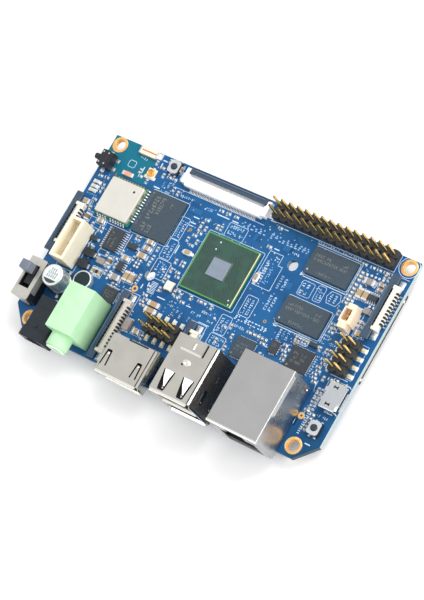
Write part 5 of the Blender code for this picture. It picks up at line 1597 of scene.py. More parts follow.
z1 = node_box("microphone_capsule")[5]
with Piece("microphone", "microphone_capsule", "capacitor_aluminium", sharp=40) as part:
    centre, radius = (15.45, 18.3), 2.75
    part.lathe(centre, [(0, 0.1), (radius - 0.1, 0.1), (radius, 0.25), (radius, z1 - 0.22),
                        (radius - 0.06, z1 - 0.08), (radius - 0.2, z1), (radius - 0.34, z1),
                        (radius - 0.36, z1 - 0.1), (0, z1 - 0.1)], 56, "alu")
    part.lathe(centre, [(0, z1 - 0.12), (radius - 0.4, z1 - 0.12), (radius - 0.44, z1 - 0.02),
                        (radius - 0.8, z1 + 0.03), (0, z1 + 0.045)], 48, "felt")

# ================================================================ card slot underneath
keep("card_slot_base", "black")
x0, x1, y0, y1, _, _ = node_box("card_slot_cover")
keep("card_slot_cover", "steel")
with Piece("card_slot_details", slot="shell_steel") as part:
    for y in (y0 + 0.8, y1 - 0.8):
        s = -1 if y < 30 else 1
        for x in (x0 + 1.0, x1 - 1.2):
            part.box(x - 0.6, x + 0.6, y + s * 0.75, y + s * 1.25, -1.75, -1.62, "tin", 0.03)
    # a black strip under the board's east edge: painted shade in the mouth of the slot, which runs
    # out to the edge
    part.prism([(26.6, -2.1), (48.9, -2.1), (48.9, -1.75), (48.7, -1.62), (26.8, -1.62),
                (26.6, -1.75)], 99.2, 100.12, "black", axis="x")
    part.box(99.3, 100.05, 25.7, 26.5, -2.1, -1.62, "steel", 0.08)
    part.box(99.3, 100.05, 49.0, 49.8, -2.1, -1.62, "steel", 0.08)
    for i in range(8):
        y = y0 + 4.2 + 2.5 * i
        part.box(x0 - 1.0, x0 + 0.3, y - 0.25, y + 0.25, -1.85, -1.65, "lead", 0.03)
        part.box(x0 - 1.2, x0 - 0.2, y - 0.4, y + 0.4, -1.67, -1.6, "tin")
x0, x1, y0, y1, z0, _ = node_box("card_eject_slider")
keep("card_eject_slider", "black")
with Piece("eject_slider_grip", slot="black_plastic", body="card_eject_slider") as part:
    for i in range(4):
        x = x0 + 1.2 + 0.7 * i
        part.box(x, x + 0.25, y0 + 0.3, y1 - 0.3, z0 + 0.02, z0 + 0.12, "lock")

# ================================================================ small surface parts
# x, y, turn, kind of each two-terminal part on the component side
FIELDS = {
    "passives_aerial_corner": [
        (16, 57, 90, "c"), (23.8, 57.8, 90, "C"), (21.7, 54.6, 0, "k"), (23.5, 54.6, 0, "c"),
        (16, 51, 90, "k"), (18.3, 56.3, 0, "c"), (19.6, 58.9, 90, "c"), (13.4, 51.7, 0, "c"),
        (12.6, 53.1, 90, "k"), (19.8, 54.4, 90, "c"), (24.9, 52, 90, "k"), (26.6, 51.4, 90, "c")],
    "passives_left_edge": [
        (2.3, 45.4, 0, "L"), (2.3, 44, 0, "L"), (2.3, 42.7, 0, "L"), (4.3, 47.6, 0, "r"),
        (4.3, 45.4, 0, "r"), (4.3, 43.2, 0, "r"), (4.3, 44.3, 0, "r"), (2.8, 39, 0, "B"),
        (4.6, 37.8, 90, "c"), (5.5, 35.3, 90, "D"), (10.05, 35.7, 0, "B"), (11.3, 33, 0, "c"),
        (11.2, 34.1, 0, "k"), (2.2, 47.4, 0, "c"), (8, 33.9, 90, "c"), (4.4, 40.6, 0, "c"),
        (2.3, 36.4, 90, "k")],
    "passives_module_south": [
        (22.5, 35.6, 90, "c"), (23.5, 35.6, 90, "k"), (27.2, 35.85, 0, "B"), (27.2, 33.9, 0, "B"),
        (27.1, 31.5, 0, "T"), (30, 35, 90, "c"), (30.1, 32.4, 90, "k"), (20.9, 30.2, 90, "c"),
        (24.9, 30, 90, "r"), (29.9, 30.5, 90, "c")],
    "passives_jack_north": [
        (10.8, 28.6, 0, "r"), (11.9, 27.9, 90, "c"), (14.9, 26.4, 90, "c"), (18.9, 26.4, 90, "D"),
        (19, 24.8, 0, "c"), (21, 26, 90, "c"), (15.8, 22.3, 90, "C"), (17, 22.3, 90, "R"),
        (18.1, 22.3, 90, "C"), (22.9, 29, 0, "B"), (23.2, 23, 0, "G"), (26, 24.6, 90, "T"),
        (27.75, 24.6, 90, "T"), (26.8, 30.2, 0, "r"), (19.4, 23.3, 90, "c"), (20, 27.9, 0, "k"),
        (17, 28, 90, "c"), (29.5, 26.2, 90, "c"), (29.4, 24.4, 90, "k")],
    "passives_codec": [
        (27.7, 20.6, 0, "c"), (27.7, 19.5, 0, "k"), (27.7, 18.4, 0, "c"), (27.6, 17.3, 0, "c"),
        (23.2, 21, 90, "c"), (24.4, 21, 90, "k"), (29, 20.9, 90, "c")],
    "passives_processor_west": [
        (38.8, 47.8, 0, "c"), (38, 46.2, 90, "k"), (38, 44.8, 90, "c"), (39.7, 45.5, 90, "c"),
        (38.8, 43.7, 0, "k"), (37.8, 42.6, 0, "c"), (39, 34.6, 0, "c"), (39, 33.6, 0, "k"),
        (36.8, 34, 90, "c"), (39, 31.4, 0, "c"), (36.9, 31.3, 90, "c"), (39.5, 30.2, 0, "k"),
        (39.4, 41.2, 90, "c"), (38.4, 39.7, 0, "c"), (36.5, 40.9, 90, "k"), (36.8, 29.4, 0, "c")],
    "passives_processor_north": [
        (41.2, 51.8, 0, "k"), (43.5, 51.8, 0, "c"), (46.1, 51.8, 0, "c"), (59.3, 53.9, 0, "c"),
        (59.2, 48, 0, "c"), (42.6, 47.3, 90, "c"), (43.8, 47.3, 90, "k")],
    "passives_processor_south": [
        (42, 27, 0, "c"), (43.2, 26, 90, "c"), (42.3, 25.2, 0, "k"), (44.7, 24.6, 0, "c"),
        (49.2, 26.8, 0, "c"), (50.6, 26.8, 0, "k"), (53.2, 26.6, 90, "c"), (36.7, 25.3, 90, "c"),
        (41.2, 26, 90, "k"), (46.4, 26.7, 90, "c"), (36.6, 28, 90, "k")],
    "passives_header_west": [
        (33.8, 22.2, 0, "c"), (34.5, 21.2, 0, "k"), (33.8, 20.3, 0, "c"), (34.5, 19.4, 0, "c"),
        (37.3, 12, 0, "B"), (39.3, 11.4, 90, "r"), (33.7, 24.4, 90, "k")],
    "passives_hub": [
        (62.7, 22, 90, "c"), (62.5, 18.3, 90, "k"), (66.5, 24.8, 0, "c"), (67.8, 24.8, 0, "k"),
        (69.1, 24.8, 0, "c"), (70.4, 24.8, 0, "c"), (71.6, 24.8, 0, "k"), (71.5, 23.6, 0, "c"),
        (72.3, 20.6, 90, "c"), (72.3, 18.6, 90, "k"), (59.3, 23.4, 0, "c"), (59.2, 19.2, 90, "c"),
        (61.1, 24.2, 90, "c")],
    "passives_clock": [
        (77.6, 25.8, 0, "c"), (78.7, 25, 0, "k"), (78, 24.2, 0, "c"), (78.6, 23.2, 0, "c"),
        (78.7, 22, 0, "k"), (79.3, 28.6, 90, "c"), (80.2, 28.6, 90, "k"), (81.4, 28.6, 90, "c"),
        (82.3, 28.6, 90, "c"), (86.7, 28.6, 90, "c"), (88.5, 28.8, 90, "c"),
        (89.5, 28.8, 90, "k")],
    "passives_phy": [
        (88.9, 26.5, 0, "c"), (89.5, 25.5, 0, "k"), (88.8, 24.2, 0, "c"), (89.3, 23.2, 0, "c"),
        (88.7, 22.2, 0, "k"), (89.2, 21.2, 0, "c"), (89.7, 20.2, 0, "c"), (91.3, 24.8, 90, "c"),
        (93.4, 22.6, 0, "k"), (95, 23, 0, "c"), (91.6, 22, 90, "c")],
    "passives_network_east": [
        (92, 18.8, 90, "c"), (93.1, 18.8, 90, "k"), (92, 17.4, 90, "c"), (93.1, 17.4, 90, "c"),
        (92, 15.9, 90, "k"), (93, 15.9, 90, "c"), (92.2, 14, 90, "c"), (93.2, 14.1, 90, "k"),
        (93.8, 12.4, 0, "c"), (93.7, 11.2, 0, "c"), (93.8, 10.1, 0, "k"), (93.7, 9.1, 0, "c"),
        (93.5, 8.1, 0, "c"), (91.8, 12.9, 0, "c")],
    "passives_memory_east": [
        *[(x, y, 0, "k" if (i + j) % 3 == 0 else "c") for j, x in enumerate((86.15, 87.55))
          for i, y in enumerate((42.5, 43.55, 44.6, 45.7, 46.8, 48, 49.4, 50.5, 51.6))],
        (86.2, 34.9, 0, "c"), (87.6, 35.5, 90, "k"), (86.6, 36, 0, "c"), (87, 33.8, 0, "c"),
        (86.1, 39.3, 90, "c"), (87.2, 39.3, 90, "k")],
    "passives_header_south": [
        (86, 53.9, 0, "c"), (88.4, 53.9, 0, "k"), (90.4, 53.9, 0, "c"), (92.4, 54, 0, "c"),
        (94, 54, 0, "k"), (92.8, 52.9, 90, "c"), (94, 52.6, 90, "c"), (90, 49.9, 0, "G"),
        (93.3, 50.4, 0, "C"), (88.95, 46.2, 90, "T"), (90.75, 46.2, 90, "T"), (94.2, 36.3, 0, "B"),
        (93.6, 39.3, 0, "c"), (93.6, 38.2, 0, "k"), (93.6, 49, 0, "C")],
}
for name, rows in FIELDS.items():
    with Piece(name) as part:
        for row in rows:
            chip_part(part, *row)

# thin printed frames round the small parts; the long sides come first and are wider
with Piece("legend_part_frames") as part:
    for x, y, turn, kind in (row for rows in FIELDS.values() for row in rows):
        size = CHIP_KINDS[kind][5]
        if not size:
            continue
        length, width = size[::-1] if turn % 180 else size
        material = "silk_soft" if kind in "ckr" else "silk"
        long_x = length > width
        for s in (-1, 1):
            for along_x in (long_x, not long_x):
                half, top = (0.06, 0.021) if along_x == long_x else (0.05, 0.02)
                if along_x:
                    middle = y + s * width / 2
                    part.box(x - length / 2, x + length / 2, middle - half, middle + half,
                             0.003, top, material)
                else:
                    middle = x + s * length / 2
                    part.box(middle - half, middle + half, y - width / 2, y + width / 2,
                             0.003, top, material)

with Piece("small_packages") as part:
    for x, y in ((12.3, 26.2), (12.2, 22.6)):
        part.prism(rect(x - 1.5, x + 1.5, y - 1.2, y + 1.2, 0.08), 0.1, 1.5, "res", bevel=0.12)
        for s in (-1, 1):
            part.box(x + s * 1.4, x + s * 1.92, y - 0.7, y + 0.7, 0.0, 0.4, "tin", 0.05)
    for x, y, length, width, height in ((10.9, 30.5, 2.2, 1.4, 0.8), (22.85, 32.75, 3.1, 1.5, 0.9),
                                        (84.6, 28.9, 2.3, 1.2, 0.8)):
        end, half = length / 2, width / 2
        part.prism(rect(x - end, x + end, y - half, y + half, 0.06), 0.1, height, "chip_dark",
                   bevel=0.08)
        for s in (-1, 1):
            bent_lead(part, x + s * end, y, 0 if s > 0 else 180, 0.7, 0.5, 0.4)
    for x, y, length, width, height in ((16.6, 25.45, 2.4, 1.7, 0.9), (34.0, 12.8, 2.0, 3.4, 1.3),
                                        (93.15, 42.6, 1.7, 1.6, 0.8)):
        end, half = length / 2, width / 2
        part.prism(rect(x - end, x + end, y - half, y + half, 0.1), 0.05, height, "cap_grey",
                   bevel=0.08)
        for s in (-1, 1):
            if length > width:
                part.box(x + s * (end - 0.25), x + s * (end + 0.3), y - half + 0.1,
                         y + half - 0.1, 0.0, 0.3, "tin", 0.04)
            else:
                part.box(x - end + 0.1, x + end - 0.1, y + s * (half - 0.25),
                         y + s * (half + 0.3), 0.0, 0.3, "tin", 0.04)
    # eight-lead packages, with leads on the north and south or the east and west sides
    for x, y, length, width, upright in ((92.9, 46.3, 2.7, 1.5, True), (22.7, 26.3, 1.6, 2.6, False)):
        end, half = length / 2, width / 2
        part.prism(rect(x - end, x + end, y - half, y + half, 0.05), 0.12, 0.95, "chip_dark",
                   bevel=0.08)
        for i in range(4):
            step = (i - 1.5) * 0.65
            for s in (-1, 1):
                if upright:
                    bent_lead(part, x + step, y + s * half, 90 * s, 0.28, 0.75, 0.5)
                else:
                    bent_lead(part, x + s * end, y + step, 0 if s > 0 else 180, 0.28, 0.75, 0.5)
    # an orange part beside the aerial socket
    part.prism(rect(8.9, 10.7, 50.1, 51.4, 0.1), 0.05, 0.85, "orange", bevel=0.08)
    for start, end in ((7.9, 8.95), (10.65, 11.6)):
        part.box(start, end, 50.2, 51.4, 0.0, 0.5, "tin", 0.06)
    # long capacitors north of the video port
    for y in (20.7, 18.8):
        part.prism(rect(36.6, 39.4, y - 0.72, y + 0.72, 0.06), 0.05, 1.2, "cap_tan", bevel=0.06)
        for start, end in ((36.15, 36.95), (39.05, 39.85)):
            part.box(start, end, y - 0.75, y + 0.75, 0.0, 1.22, "tin", 0.06)

with Piece("test_pads_top", slot="gold_plating") as part:
    for x, y in ((89.3, 51.8), (90.5, 51.8), (91.6, 51.8), (92.8, 51.8), (93, 44.1), (94.2, 44.1),
                 (20.7, 24), (20.7, 23), (20.7, 22), (26.2, 28.2), (27.2, 28.2), (26.2, 29.2),
                 (27.2, 29.2), (98.2, 22.9), (38.9, 57), (34.5, 30.6), (55.6, 24.4), (57.4, 16)):
        part.disc(x, y, 0.36, 0.0, 0.03, "tin")
    for x, y in ((79.6, 27.35), (35.7, 12.8), (35.7, 43.6), (6, 49.5), (29.8, 21.2), (68.9, 29.2)):
        part.ring(x, y, 0.5, 0.24, 0.0, 0.04, "gold_pin", 18)
    part.ring(30.0, 22.6, 0.95, 0.45, 0.0, 0.05, "gold", 28)
    part.ring(91.25, 11.0, 0.95, 0.3, 0.0, 0.05, "gold", 28)

# ================================================================ printed legend
INK = (0.002, 0.022)  # z from and to
# x0, y0, x1, y1 of rounded frames
SMALL_FRAMES = (
    (31.2, 39.5, 34.3, 46.2), (31.3, 33.3, 34.7, 39.3), (31.4, 27.5, 36.0, 33.0),
    (45.3, 45.9, 51.3, 50.0), (60.8, 28.0, 64.3, 34.0), (57.0, 20.9, 60.4, 26.4),
    (56.8, 17.3, 61.8, 20.7), (79.0, 27.6, 83.0, 30.0), (8.0, 53.0, 10.3, 55.0),
    (14.0, 27.2, 17.3, 28.7))
MODULE_FRAMES = ((71.3, 45.0, 85.2, 53.5), (71.2, 30.2, 85.1, 38.6), (19.3, 36.4, 31.8, 50.0))
# centre x, y, size along x, size along y
DASHES = (
    (42.5, 50.5, 4, .3), (46.5, 50.5, 2, .3), (35.2, 37.2, .3, 2.6), (35.5, 47.3, 1.9, .3),
    (35.4, 45.6, 1.7, .3), (35.3, 44.7, 1.4, .22), (61.1, 54, 1.4, .3), (56.5, 54.8, 1.8, .3),
    (61.5, 48.1, 1.6, .3), (71.5, 44.8, 1, .9), (72, 29.6, 1, .8), (19.8, 50.6, 2, .35),
    (90.6, 20, .16, 2), (95.3, 23.9, 5.2, .18), (55.1, 10.7, .16, 18), (24, 20.55, 4.6, .16),
    (52.5, 27.3, 1.2, .24), (47, 24.3, 1.5, .26), (38.5, 23.2, 2.6, .28), (72.8, 23.3, 1, .26),
    (31.5, 24, .3, 1.3), (33, 25.2, .3, 1.2), (13.2, 53.6, .3, 2), (18, 58.4, 1.5, .35),
    (17.6, 56.9, .35, 1.3), (20.7, 33, .16, 6), (53.6, 21.7, 3.4, .22), (98, 14.4, 1.4, .3),
    (96.6, 5, 1.6, .3), *[(34.65, 23.2 + 0.4 * i, 2, .16) for i in range(9)],
    *[(92.7, 6.6 + 0.62 * i, .7, .2) for i in range(11)])
# width, closed, points of the lines round the connectors
CONNECTOR_LINES = (
    (0.14, False, [(32.6, 0.2), (32.6, 21.4), (27.4, 21.4)]),
    (0.14, False, [(54.9, 0.2), (54.9, 21.4), (49.8, 21.4)]),
    (0.14, True, rect(4.4, 10.4, 19.4, 33.3)),
    (0.14, False, [(93.3, 13.9), (93.3, 22.9), (99.4, 22.9)]),
    (0.14, False, [(5.7, 36.0), (19.8, 36.0), (19.8, 36.2)]),
    (0.15, False, [(56.05, 60.0), (56.05, 54.95), (94.2, 54.95), (94.2, 60.0)]),
    (0.13, False, [(94.4, 34.6), (94.4, 54.4), (99.3, 54.4)]),
    (0.12, True, rect(88.2, 92.9, 34.4, 42.8)),
    (0.12, True, rect(92.2, 98.6, 24.4, 34.2)),
    (0.13, False, [(39.3, 11.4), (39.3, 19.0)]),
    (0.13, False, [(24.8, 52.8), (54.6, 52.8)]))

with Piece("legend_outlines") as part:
    def ink_line(points, width, closed=False):
        part.line(points, width, *INK, "silk", closed)

    def ink_frame(x0, y0, x1, y1, width=0.13):
        ink_line(rounded(x0, x1, y0, y1, 0.5, 3), width, True)

    for corners in SMALL_FRAMES:
        ink_frame(*corners)
    ink_line([(60.0, 37.0), (65.6, 37.0), (65.6, 44.2), (64.2, 44.2), (64.2, 47.2),
              (60.0, 47.2)], 0.13, True)
    for corners in MODULE_FRAMES:
        ink_frame(*corners, 0.16)
    for start, y, end in ((71.3, 44.45, 85.2), (71.2, 29.65, 85.1), (71.3, 54.05, 85.2)):
        ink_line([(start, y), (end, y)], 0.22)
    for x, start, end in ((85.65, 45.2, 53.4), (85.55, 30.4, 38.4)):
        ink_line([(x, start), (x, end)], 0.16)
    ink_frame(72.8, 39.4, 76.6, 43.6, 0.11)
    ink_frame(77.6, 39.5, 80.0, 44.0, 0.11)
    ink_line([(81.6, 40.4), (84.4, 40.4), (85.1, 42.1), (84.4, 43.8), (81.6, 43.8),
              (80.9, 42.1)], 0.12, True)
    ink_frame(40.9, 27.55, 59.2, 45.85, 0.14)
    for x, y, length, width in DASHES:
        part.box(x - length / 2, x + length / 2, y - width / 2, y + width / 2, *INK, "silk")
    for width, closed, points in CONNECTOR_LINES:
        ink_line(points, width, closed)
    part.ring(97.5, 57.65, 2.95, 2.8, *INK, "silk", 40)

# x, y, width, height, count, upright; keyed by the first row's seed
LEGEND_MARKS = {
    200: (
        (49, 50.2, 21.7, 1.45, 17, 0), (60.5, 26.5, 10.5, 1.2, 10, 0), (60.5, 24.6, 4.6, .7, 8, 0),
        (71, 54.1, 14, .62, 18, 0), (10.5, 56.4, 2.5, .8, 4, 0), (21, 51.2, .5, 2, 4, 1),
        (22.6, 51.7, .5, 1.8, 4, 1), (23.7, 52.7, .5, 1.7, 3, 1), (22.7, 50.2, 1.6, .5, 4, 0),
        (61, 37.6, .9, 5, 7, 1), (62.6, 38.2, .8, 5.4, 8, 1), (60.8, 41.3, .8, 4.4, 6, 1),
        (62.5, 45, 1.2, 1.6, 2, 1), (46, 48.6, 4.4, .9, 6, 0), (46, 46.8, 4.4, .9, 6, 0),
        (31.9, 40.2, .7, 5.2, 8, 1), (33.1, 40.2, .7, 5.2, 8, 1), (31.9, 34, .7, 4.6, 7, 1),
        (33.2, 34, .7, 4.6, 7, 1), (32.2, 29.6, .7, 3, 4, 1), (33.6, 28.4, .7, 4, 5, 1),
        (34.8, 28.2, .6, 4, 5, 1), (61.4, 28.6, .7, 4.8, 7, 1), (62.8, 28.6, .7, 4.8, 7, 1),
        (57.6, 21.6, .7, 4.2, 6, 1), (58.9, 21.6, .7, 4.2, 6, 1), (57.4, 17.9, 3.6, .8, 6, 0),
        (57.4, 19.3, 3.6, .8, 6, 0), (73.2, 39.8, .7, 3.4, 5, 1), (74.6, 39.8, .7, 3.4, 5, 1),
        (78.2, 39.9, .6, 3.6, 5, 1), (79.1, 39.9, .6, 3.6, 5, 1), (81.8, 41, .6, 2.4, 4, 1),
        (83.2, 41, .6, 2.4, 4, 1), (74, 26.2, .6, 3.8, 6, 1), (75.2, 26.2, .6, 3.8, 6, 1),
        (76.4, 26.8, .6, 3.2, 5, 1), (87, 21.4, .6, 5.6, 8, 1), (41.2, 22.2, 1.9, .6, 4, 0),
        (41.2, 23.2, 1.9, .6, 4, 0), (40.8, 20, .5, 1.7, 3, 1), (43.4, 20.2, .5, 2, 4, 1),
        (45.9, 20.2, .5, 2, 4, 1), (48.6, 20, .5, 2, 4, 1), (44.6, 21.3, .5, 1.6, 3, 1),
        (29, 13.6, .5, 4.6, 7, 1), (85.3, 30.2, 2.6, .6, 4, 0), (85.3, 31.3, 2.6, .6, 4, 0),
        (85.4, 32.3, 2.2, .5, 4, 0)),
    250: (
        (36, 50.4, 3.6, .7, 6, 0), (27.6, 51, 5, .6, 8, 0), (65.9, 48.6, 2.4, .7, 4, 0),
        (66.6, 32, .7, 4.6, 6, 1), (68, 32, .7, 4.6, 6, 1), (66.7, 38.4, .7, 4.2, 6, 1),
        (68.2, 38.6, .7, 3.6, 5, 1), (88, 30.6, 2.8, .6, 5, 0), (95, 12.6, 3.4, .6, 6, 0)),
    260: (
        (1, 41.4, 3.6, .4, 6, 0), (54, 22.6, 2, .6, 3, 0), (48.5, 23, 3.4, .6, 5, 0),
        (51.3, 24.3, 3.2, .6, 5, 0)),
}
with Piece("legend_marks") as part:
    for first, rows in LEGEND_MARKS.items():
        for seed, (x, y, width, height, count, upright) in enumerate(rows, first):
            marks(part, x, y, width, height, count, "silk" if seed % 5 else "silk_dim", INK[0],
                  seed, upright, 0.95)


# ================================================================ covered copper and vias
def bundles(part, rows, z0, z1):
    """Parallel tracks; each row is the middle line's points, the count and the spacing."""
    for points, count, gap in rows:
        for i in range(count):
            shift = (i - (count - 1) / 2) * gap * 1.05
            line = []
            for j, (x, y) in enumerate(points):
                before = Vector(points[max(0, j - 1)])
                after = Vector(points[min(len(points) - 1, j + 1)])
                normal = left_normal(after - before)
                line.append((x + normal.x * shift, y + normal.y * shift))
            part.line(line, 0.1, z0, z1, "trace")


TOP_TRACKS = (
    ([(58.8, 41.5), (62.5, 41.5), (66, 45), (66, 50), (71, 50)], 9, 0.3),
    ([(58.8, 34), (66.5, 34), (71.4, 34)], 12, 0.3),
    ([(41.4, 43.5), (36.5, 43.5), (33, 47), (31.8, 47)], 7, 0.3),
    ([(52.5, 27.9), (52.5, 23), (56.4, 19), (56.4, 9)], 5, 0.32),
    ([(56, 45.6), (56, 48.6), (60.5, 53), (60.5, 54.8)], 9, 0.34),
    ([(47, 45.6), (47, 50), (42, 55)], 9, 0.32),
    ([(41.3, 36), (36, 36), (33, 33), (32, 33)], 6, 0.3),
    ([(45, 27.9), (45, 22), (43.5, 20.5)], 5, 0.34),
    ([(80.3, 27.2), (80.3, 30.2)], 6, 0.34),
    ([(71.2, 18.6), (73.4, 18.6), (74.2, 19.4), (79.8, 23.6)], 5, 0.34),
    ([(66, 55), (66, 53.2), (68, 51.8)], 5, 0.34),
    ([(86, 55), (87.6, 53), (88.2, 44.5)], 4, 0.34),
    ([(58.8, 30), (62, 27.6), (67.5, 25.8)], 6, 0.34),
    ([(31.9, 43), (33.4, 41.5), (38.6, 41.5)], 5, 0.34),
    ([(93.2, 45), (94, 41), (94.2, 37.4)], 4, 0.34))
with Piece("covered_tracks") as part:
    bundles(part, TOP_TRACKS, 0.0, 0.008)
    draw = random.Random(77)
    for x, y in ((34.2, 49.0), (55.0, 48.9), (44.2, 48.9), (64.5, 49.6), (69.5, 40.5), (54.2, 24.6)):
        half_x, half_y = draw.uniform(1.0, 2.2), draw.uniform(0.5, 1.1)
        part.box(x - half_x, x + half_x, y - half_y, y + half_y, 0.0, 0.008, "trace")

KEEP_OUT = [node_box(node) for node in frame["nodes"]
            if node != "pcb" and not node.startswith("mount_hole")]
HOLES = ((2.6, 57.65), (97.5, 57.65), (93.4, 3.2), (6.0, 3.0), *COOLER_HOLES)


def is_clear(x, y, side, margin):
    """Whether a spot on the top (+1) or the underside (-1) is free of parts, holes and edges."""
    for x0, x1, y0, y1, z0, z1 in KEEP_OUT:
        if x0 - margin < x < x1 + margin and y0 - margin < y < y1 + margin:
            if (z1 > 0.0) if side > 0 else (z0 < -1.6):
                return False
    if any(math.hypot(x - hx, y - hy) < 3.4 for hx, hy in HOLES):
        return False
    return 1 <= x <= 99.3 and 1 <= y <= 59.3 and x + y >= 11.2 and (100 - x) + y >= 11.8


with Piece("via_dots") as part:
    draw = random.Random(5)
    spots = [row[:2] for rows in FIELDS.values() for row in rows]
    placed = 0
    while placed < 420:
        near_part = draw.random() < 0.55
        cx, cy = draw.choice(spots) if near_part else (draw.uniform(20, 95), draw.uniform(17, 55))
        x, y = cx + draw.gauss(0, 1.6), cy + draw.gauss(0, 1.6)
        if (x < 16 and y > 49.5) or not is_clear(x, y, 1, 0.2):
            continue
        placed += 1
        kind = draw.random()
        material = "silk_dim" if kind < 0.6 else "tin" if kind < 0.85 else "gold_pin"
        part.disc(x, y, 0.16 if kind < 0.75 else 0.22, 0.0, 0.012, material, 7)


# ================================================================ underside
def joint(part, x, y, radius=0.62, height=0.95, tail=0.32):
    """Soldered round tail."""
    z = UNDERSIDE
    part.lathe((x, y), [(0, z + 0.02), (radius + 0.28, z + 0.02), (radius + 0.28, z - 0.04),
                        (radius, z - 0.06), (radius * 0.62, z - 0.28), (tail * 0.95, z - height),
                        (tail * 0.5, z - height - 0.12), (0, z - height - 0.16)], 18, "tin")


def slot_joint(part, x, y, size_x, size_y):
    """Soldered flat tab."""
    z, edge = UNDERSIDE, 0.42
    outline = rounded(x - size_x / 2 - edge, x + size_x / 2 + edge, y - size_y / 2 - edge,
                      y + size_y / 2 + edge, min(size_x, size_y) / 2 + edge - 0.05, 5)
    part.loft([(outline, z + 0.02), (outline, z - 0.05), (inset(outline, 0.22), z - 0.12),
               (inset(outline, 0.36), z - 0.75), (inset(outline, 0.5), z - 0.95)], "tin")


with Piece("solder_joints_header", slot="shell_steel") as part:
    for i in range(15):
        for j in range(2):
            joint(part, 57.32 + PIN_PITCH * i, 56.37 + PIN_PITCH * j)

# x, y, size along x, size along y
TAB_JOINTS = [
    (10.0, 7.4, 0.8, 2.0), (12.95, 8.9, 2.2, 0.6), (16.2, 5.2, 0.6, 2.0),
    *[(x, y, 0.5, 1.2) for y in (4.0, 13.0) for x in (20.0, 25.5)],
    *[(x, y, 0.35, 2.2) for x in (57.425, 69.675) for y in (3.6, 11.6)],
    *[(x, 9.0, 0.35, 1.8) for x in (74.875, 90.075)],
    *[(x, y, 0.4, 1.5) for x in (35.03, 49.2) for y in (1.6, 7.0)],
    (3.25, 6.12, 1.5, 0.26), (3.25, 17.88, 1.5, 0.26)]
with Piece("solder_joints_ports", slot="shell_steel") as part:
    for x, y in SERIAL_PINS:
        joint(part, x, y)
    for i in range(4):
        for y in (11.2, 13.2):
            joint(part, 60.0 + 2.35 * i, y, 0.5, 0.85, 0.28)
    for i in range(8):
        joint(part, 78.2 + 1.25 * i, 12.6 + 2.5 * (i % 2), 0.42, 0.8, 0.25)
    for i in range(3):
        joint(part, 3.25, 9.4 + 2.6 * i, 0.55, 0.85)
    for x in (14.2, 16.7):
        joint(part, x, 18.3, 0.5, 0.75, 0.25)
    for row in TAB_JOINTS:
        slot_joint(part, *row)

with Piece("test_pads_underside", slot="gold_plating") as part:
    draw = random.Random(9)
    placed = 0
    while placed < 90:
        x, y = draw.uniform(3, 97), draw.uniform(3, 57)
        if not is_clear(x, y, -1, 0.8):
            continue
        placed += 1
        radius = draw.choice((0.2, 0.2, 0.3, 0.45))
        material = draw.choice(("tin", "gold_pin", "silk_dim"))
        part.disc(round(x * 2) / 2, round(y * 2) / 2, radius, UNDERSIDE - 0.022,
                  UNDERSIDE + 0.01, material, 12)

# x0, x1, y0, y1
UNDER_FRAMES = ((55.9, 94.3, 54.95, 59.75), (57, 70.1, 1.2, 14.9), (74.3, 90.7, 2, 18.5),
                (34.4, 49.8, 0.3, 9), (18.2, 27.3, 1.4, 15.6), (8.4, 17.5, 0.4, 9.9),
                (5, 10.2, 20, 32.8), (41.3, 58.8, 28, 45.5), (1.4, 5.1, 6.2, 17.8))
# x, y, width, height, count
UNDER_MARKS = ((22, 49.5, 20, 1.6, 13), (24, 46.8, 12, 0.9, 12), (58, 50.8, 10, 0.8, 10),
               (31.5, 20.6, 18, 0.9, 16), (31.5, 18.6, 14, 0.9, 13), (44, 40.5, 8, 0.8, 8),
               (21, 38, 8, 0.8, 8), (58.5, 16.2, 10, 0.8, 9), (76, 20.3, 12, 0.8, 11),
               (12.5, 22, 6, 0.8, 6))
with Piece("legend_underside") as part:
    ink = (UNDERSIDE - 0.022, UNDERSIDE - 0.002)
    for corners in UNDER_FRAMES:
        part.line(rect(*corners), 0.16, *ink, "silk", True)
    for y in (24.3, 52.5):
        part.line([(70.6, y), (99.2, y)], 0.16, *ink, "silk")
    for corners in ((20.0, 31.0, 36.0, 45.0), (30.5, 52.0, 16.0, 24.0)):
        part.line(rect(*corners), 0.13, *ink, "silk_dim", True)
    for seed, row in enumerate(UNDER_MARKS, 400):
        marks(part, *row, "silk", ink[0], seed, density=0.95)
with Piece("covered_tracks_underside") as part:
    bundles(part, (
        ([(41, 30), (36, 30), (30, 24), (16, 24)], 9, 0.34),
        ([(59, 43), (64, 43), (70, 49), (70, 54)], 9, 0.34),
        ([(50, 46), (50, 50), (56, 56)], 7, 0.34),
        ([(46, 28), (46, 22), (40, 16), (40, 10)], 7, 0.34),
        ([(59, 32), (66, 32), (70, 28)], 8, 0.34),
        ([(40.8, 40), (30, 40), (20, 50), (14, 50)], 7, 0.34),
        ([(56, 28), (56, 24), (62, 18)], 6, 0.34),
    ), UNDERSIDE - 0.008, UNDERSIDE + 0.002)

# ================================================================ camera, floor and light
# rotation rows, then the place in board millimetres
CAMERA_AXES = ((0.80148443, -0.36720928, 0.47199581), (0.49222419, 0.85331382, -0.17196185),
               (-0.33961456, 0.3701525, 0.86466703))
CAMERA_PLACE = (313.71633, -66.74444, 479.12590)


def stage(name, data):
    ob = bpy.data.objects.new(name, data)
    bpy.context.scene.collection.objects.link(ob)
    return ob


camera_data = bpy.data.cameras.new("main_camera")
camera_data.lens = 125.943
camera_data.sensor_width = 36.0
camera = stage("main_camera", camera_data)
camera.matrix_world = Matrix([(*CAMERA_AXES[axis], world(axis, CAMERA_PLACE[axis]))
                              for axis in range(3)] + [(0, 0, 0, 1)])
bpy.context.scene.camera = camera


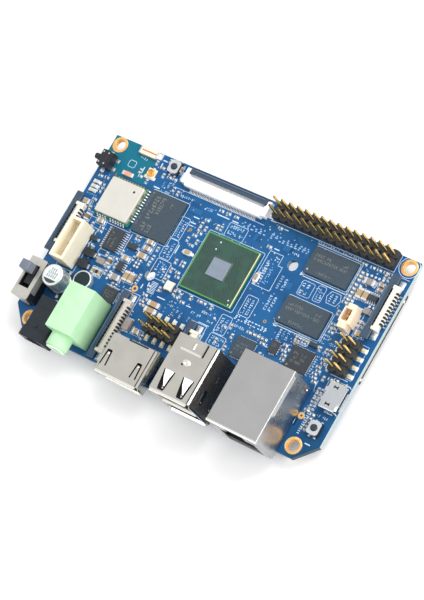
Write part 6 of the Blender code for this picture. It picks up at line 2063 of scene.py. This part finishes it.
def flat_prop(name, vertices, faces, shader):
    mesh = bpy.data.meshes.new(name)
    mesh.from_pydata(vertices, [], faces)
    mesh.materials.append(shader.material)
    stage(name, mesh)


paper = Shader("floor_paper")
paper.set("Base Color", paper.mix(paper.remap(paper.noise(3.0), 0.3, 0.7),
                                  (0.93, 0.93, 0.93), (0.96, 0.96, 0.96)))
paper.set("Roughness", 0.9)
paper.set("Specular IOR Level", 0.1)
paper.set("Emission Color", (1, 1, 1))
paper.set("Emission Strength", 0.08)
flat_prop("floor", [(x, y, -0.0002) for x, y in rect(-3, 3, -3, 3)], [(0, 1, 2, 3)], paper)

# glowing discs under the two cooler holes: painted light on the shaded floor there, so that the holes
# show white
card = Shader("hole_painted_glow")
card.set("Emission Color", (1, 1, 1))
card.set("Emission Strength", card.remap(card.noise(30.0), 0.3, 0.7, low=0.95, high=1.0))
flat_prop("hole_glow_discs",
          [(world(X, u), world(Y, v), -0.0001) for x, y in COOLER_HOLES
           for u, v in circle(x - 2.5, y + 0.9, 3.0, 24)],
          [tuple(range(24)), tuple(range(24, 48))], card)

studio = bpy.data.worlds.new("studio")
studio.use_nodes = True
background = studio.node_tree.nodes["Background"].inputs
background["Color"].default_value = (1, 1, 1, 1)
background["Strength"].default_value = 0.85
bpy.context.scene.world = studio


def softbox(name, place, size, power, target=(0, 0, 0)):
    """Rectangular lamp aimed at a target, in metres and watts."""
    lamp = bpy.data.lights.new(name, "AREA")
    lamp.shape = "RECTANGLE"
    lamp.size, lamp.size_y = size
    lamp.energy = power
    ob = stage(name, lamp)
    ob.location = place
    aim = Vector(target) - Vector(place)
    ob.rotation_euler = aim.to_track_quat("-Z", "Y").to_euler()


softbox("back_softbox", place=(0.22, 0.42, 0.55), size=(0.45, 0.35), power=2.6)
softbox("front_softbox", place=(-0.378, -0.27, 0.65), size=(0.3, 0.26), power=0.36)
softbox("side_softbox", place=(0.62, 0.02, 0.36), size=(0.4, 0.35), power=1.9,
        target=(0, 0, 0.005))
bpy.context.scene.view_settings.view_transform = "Standard"
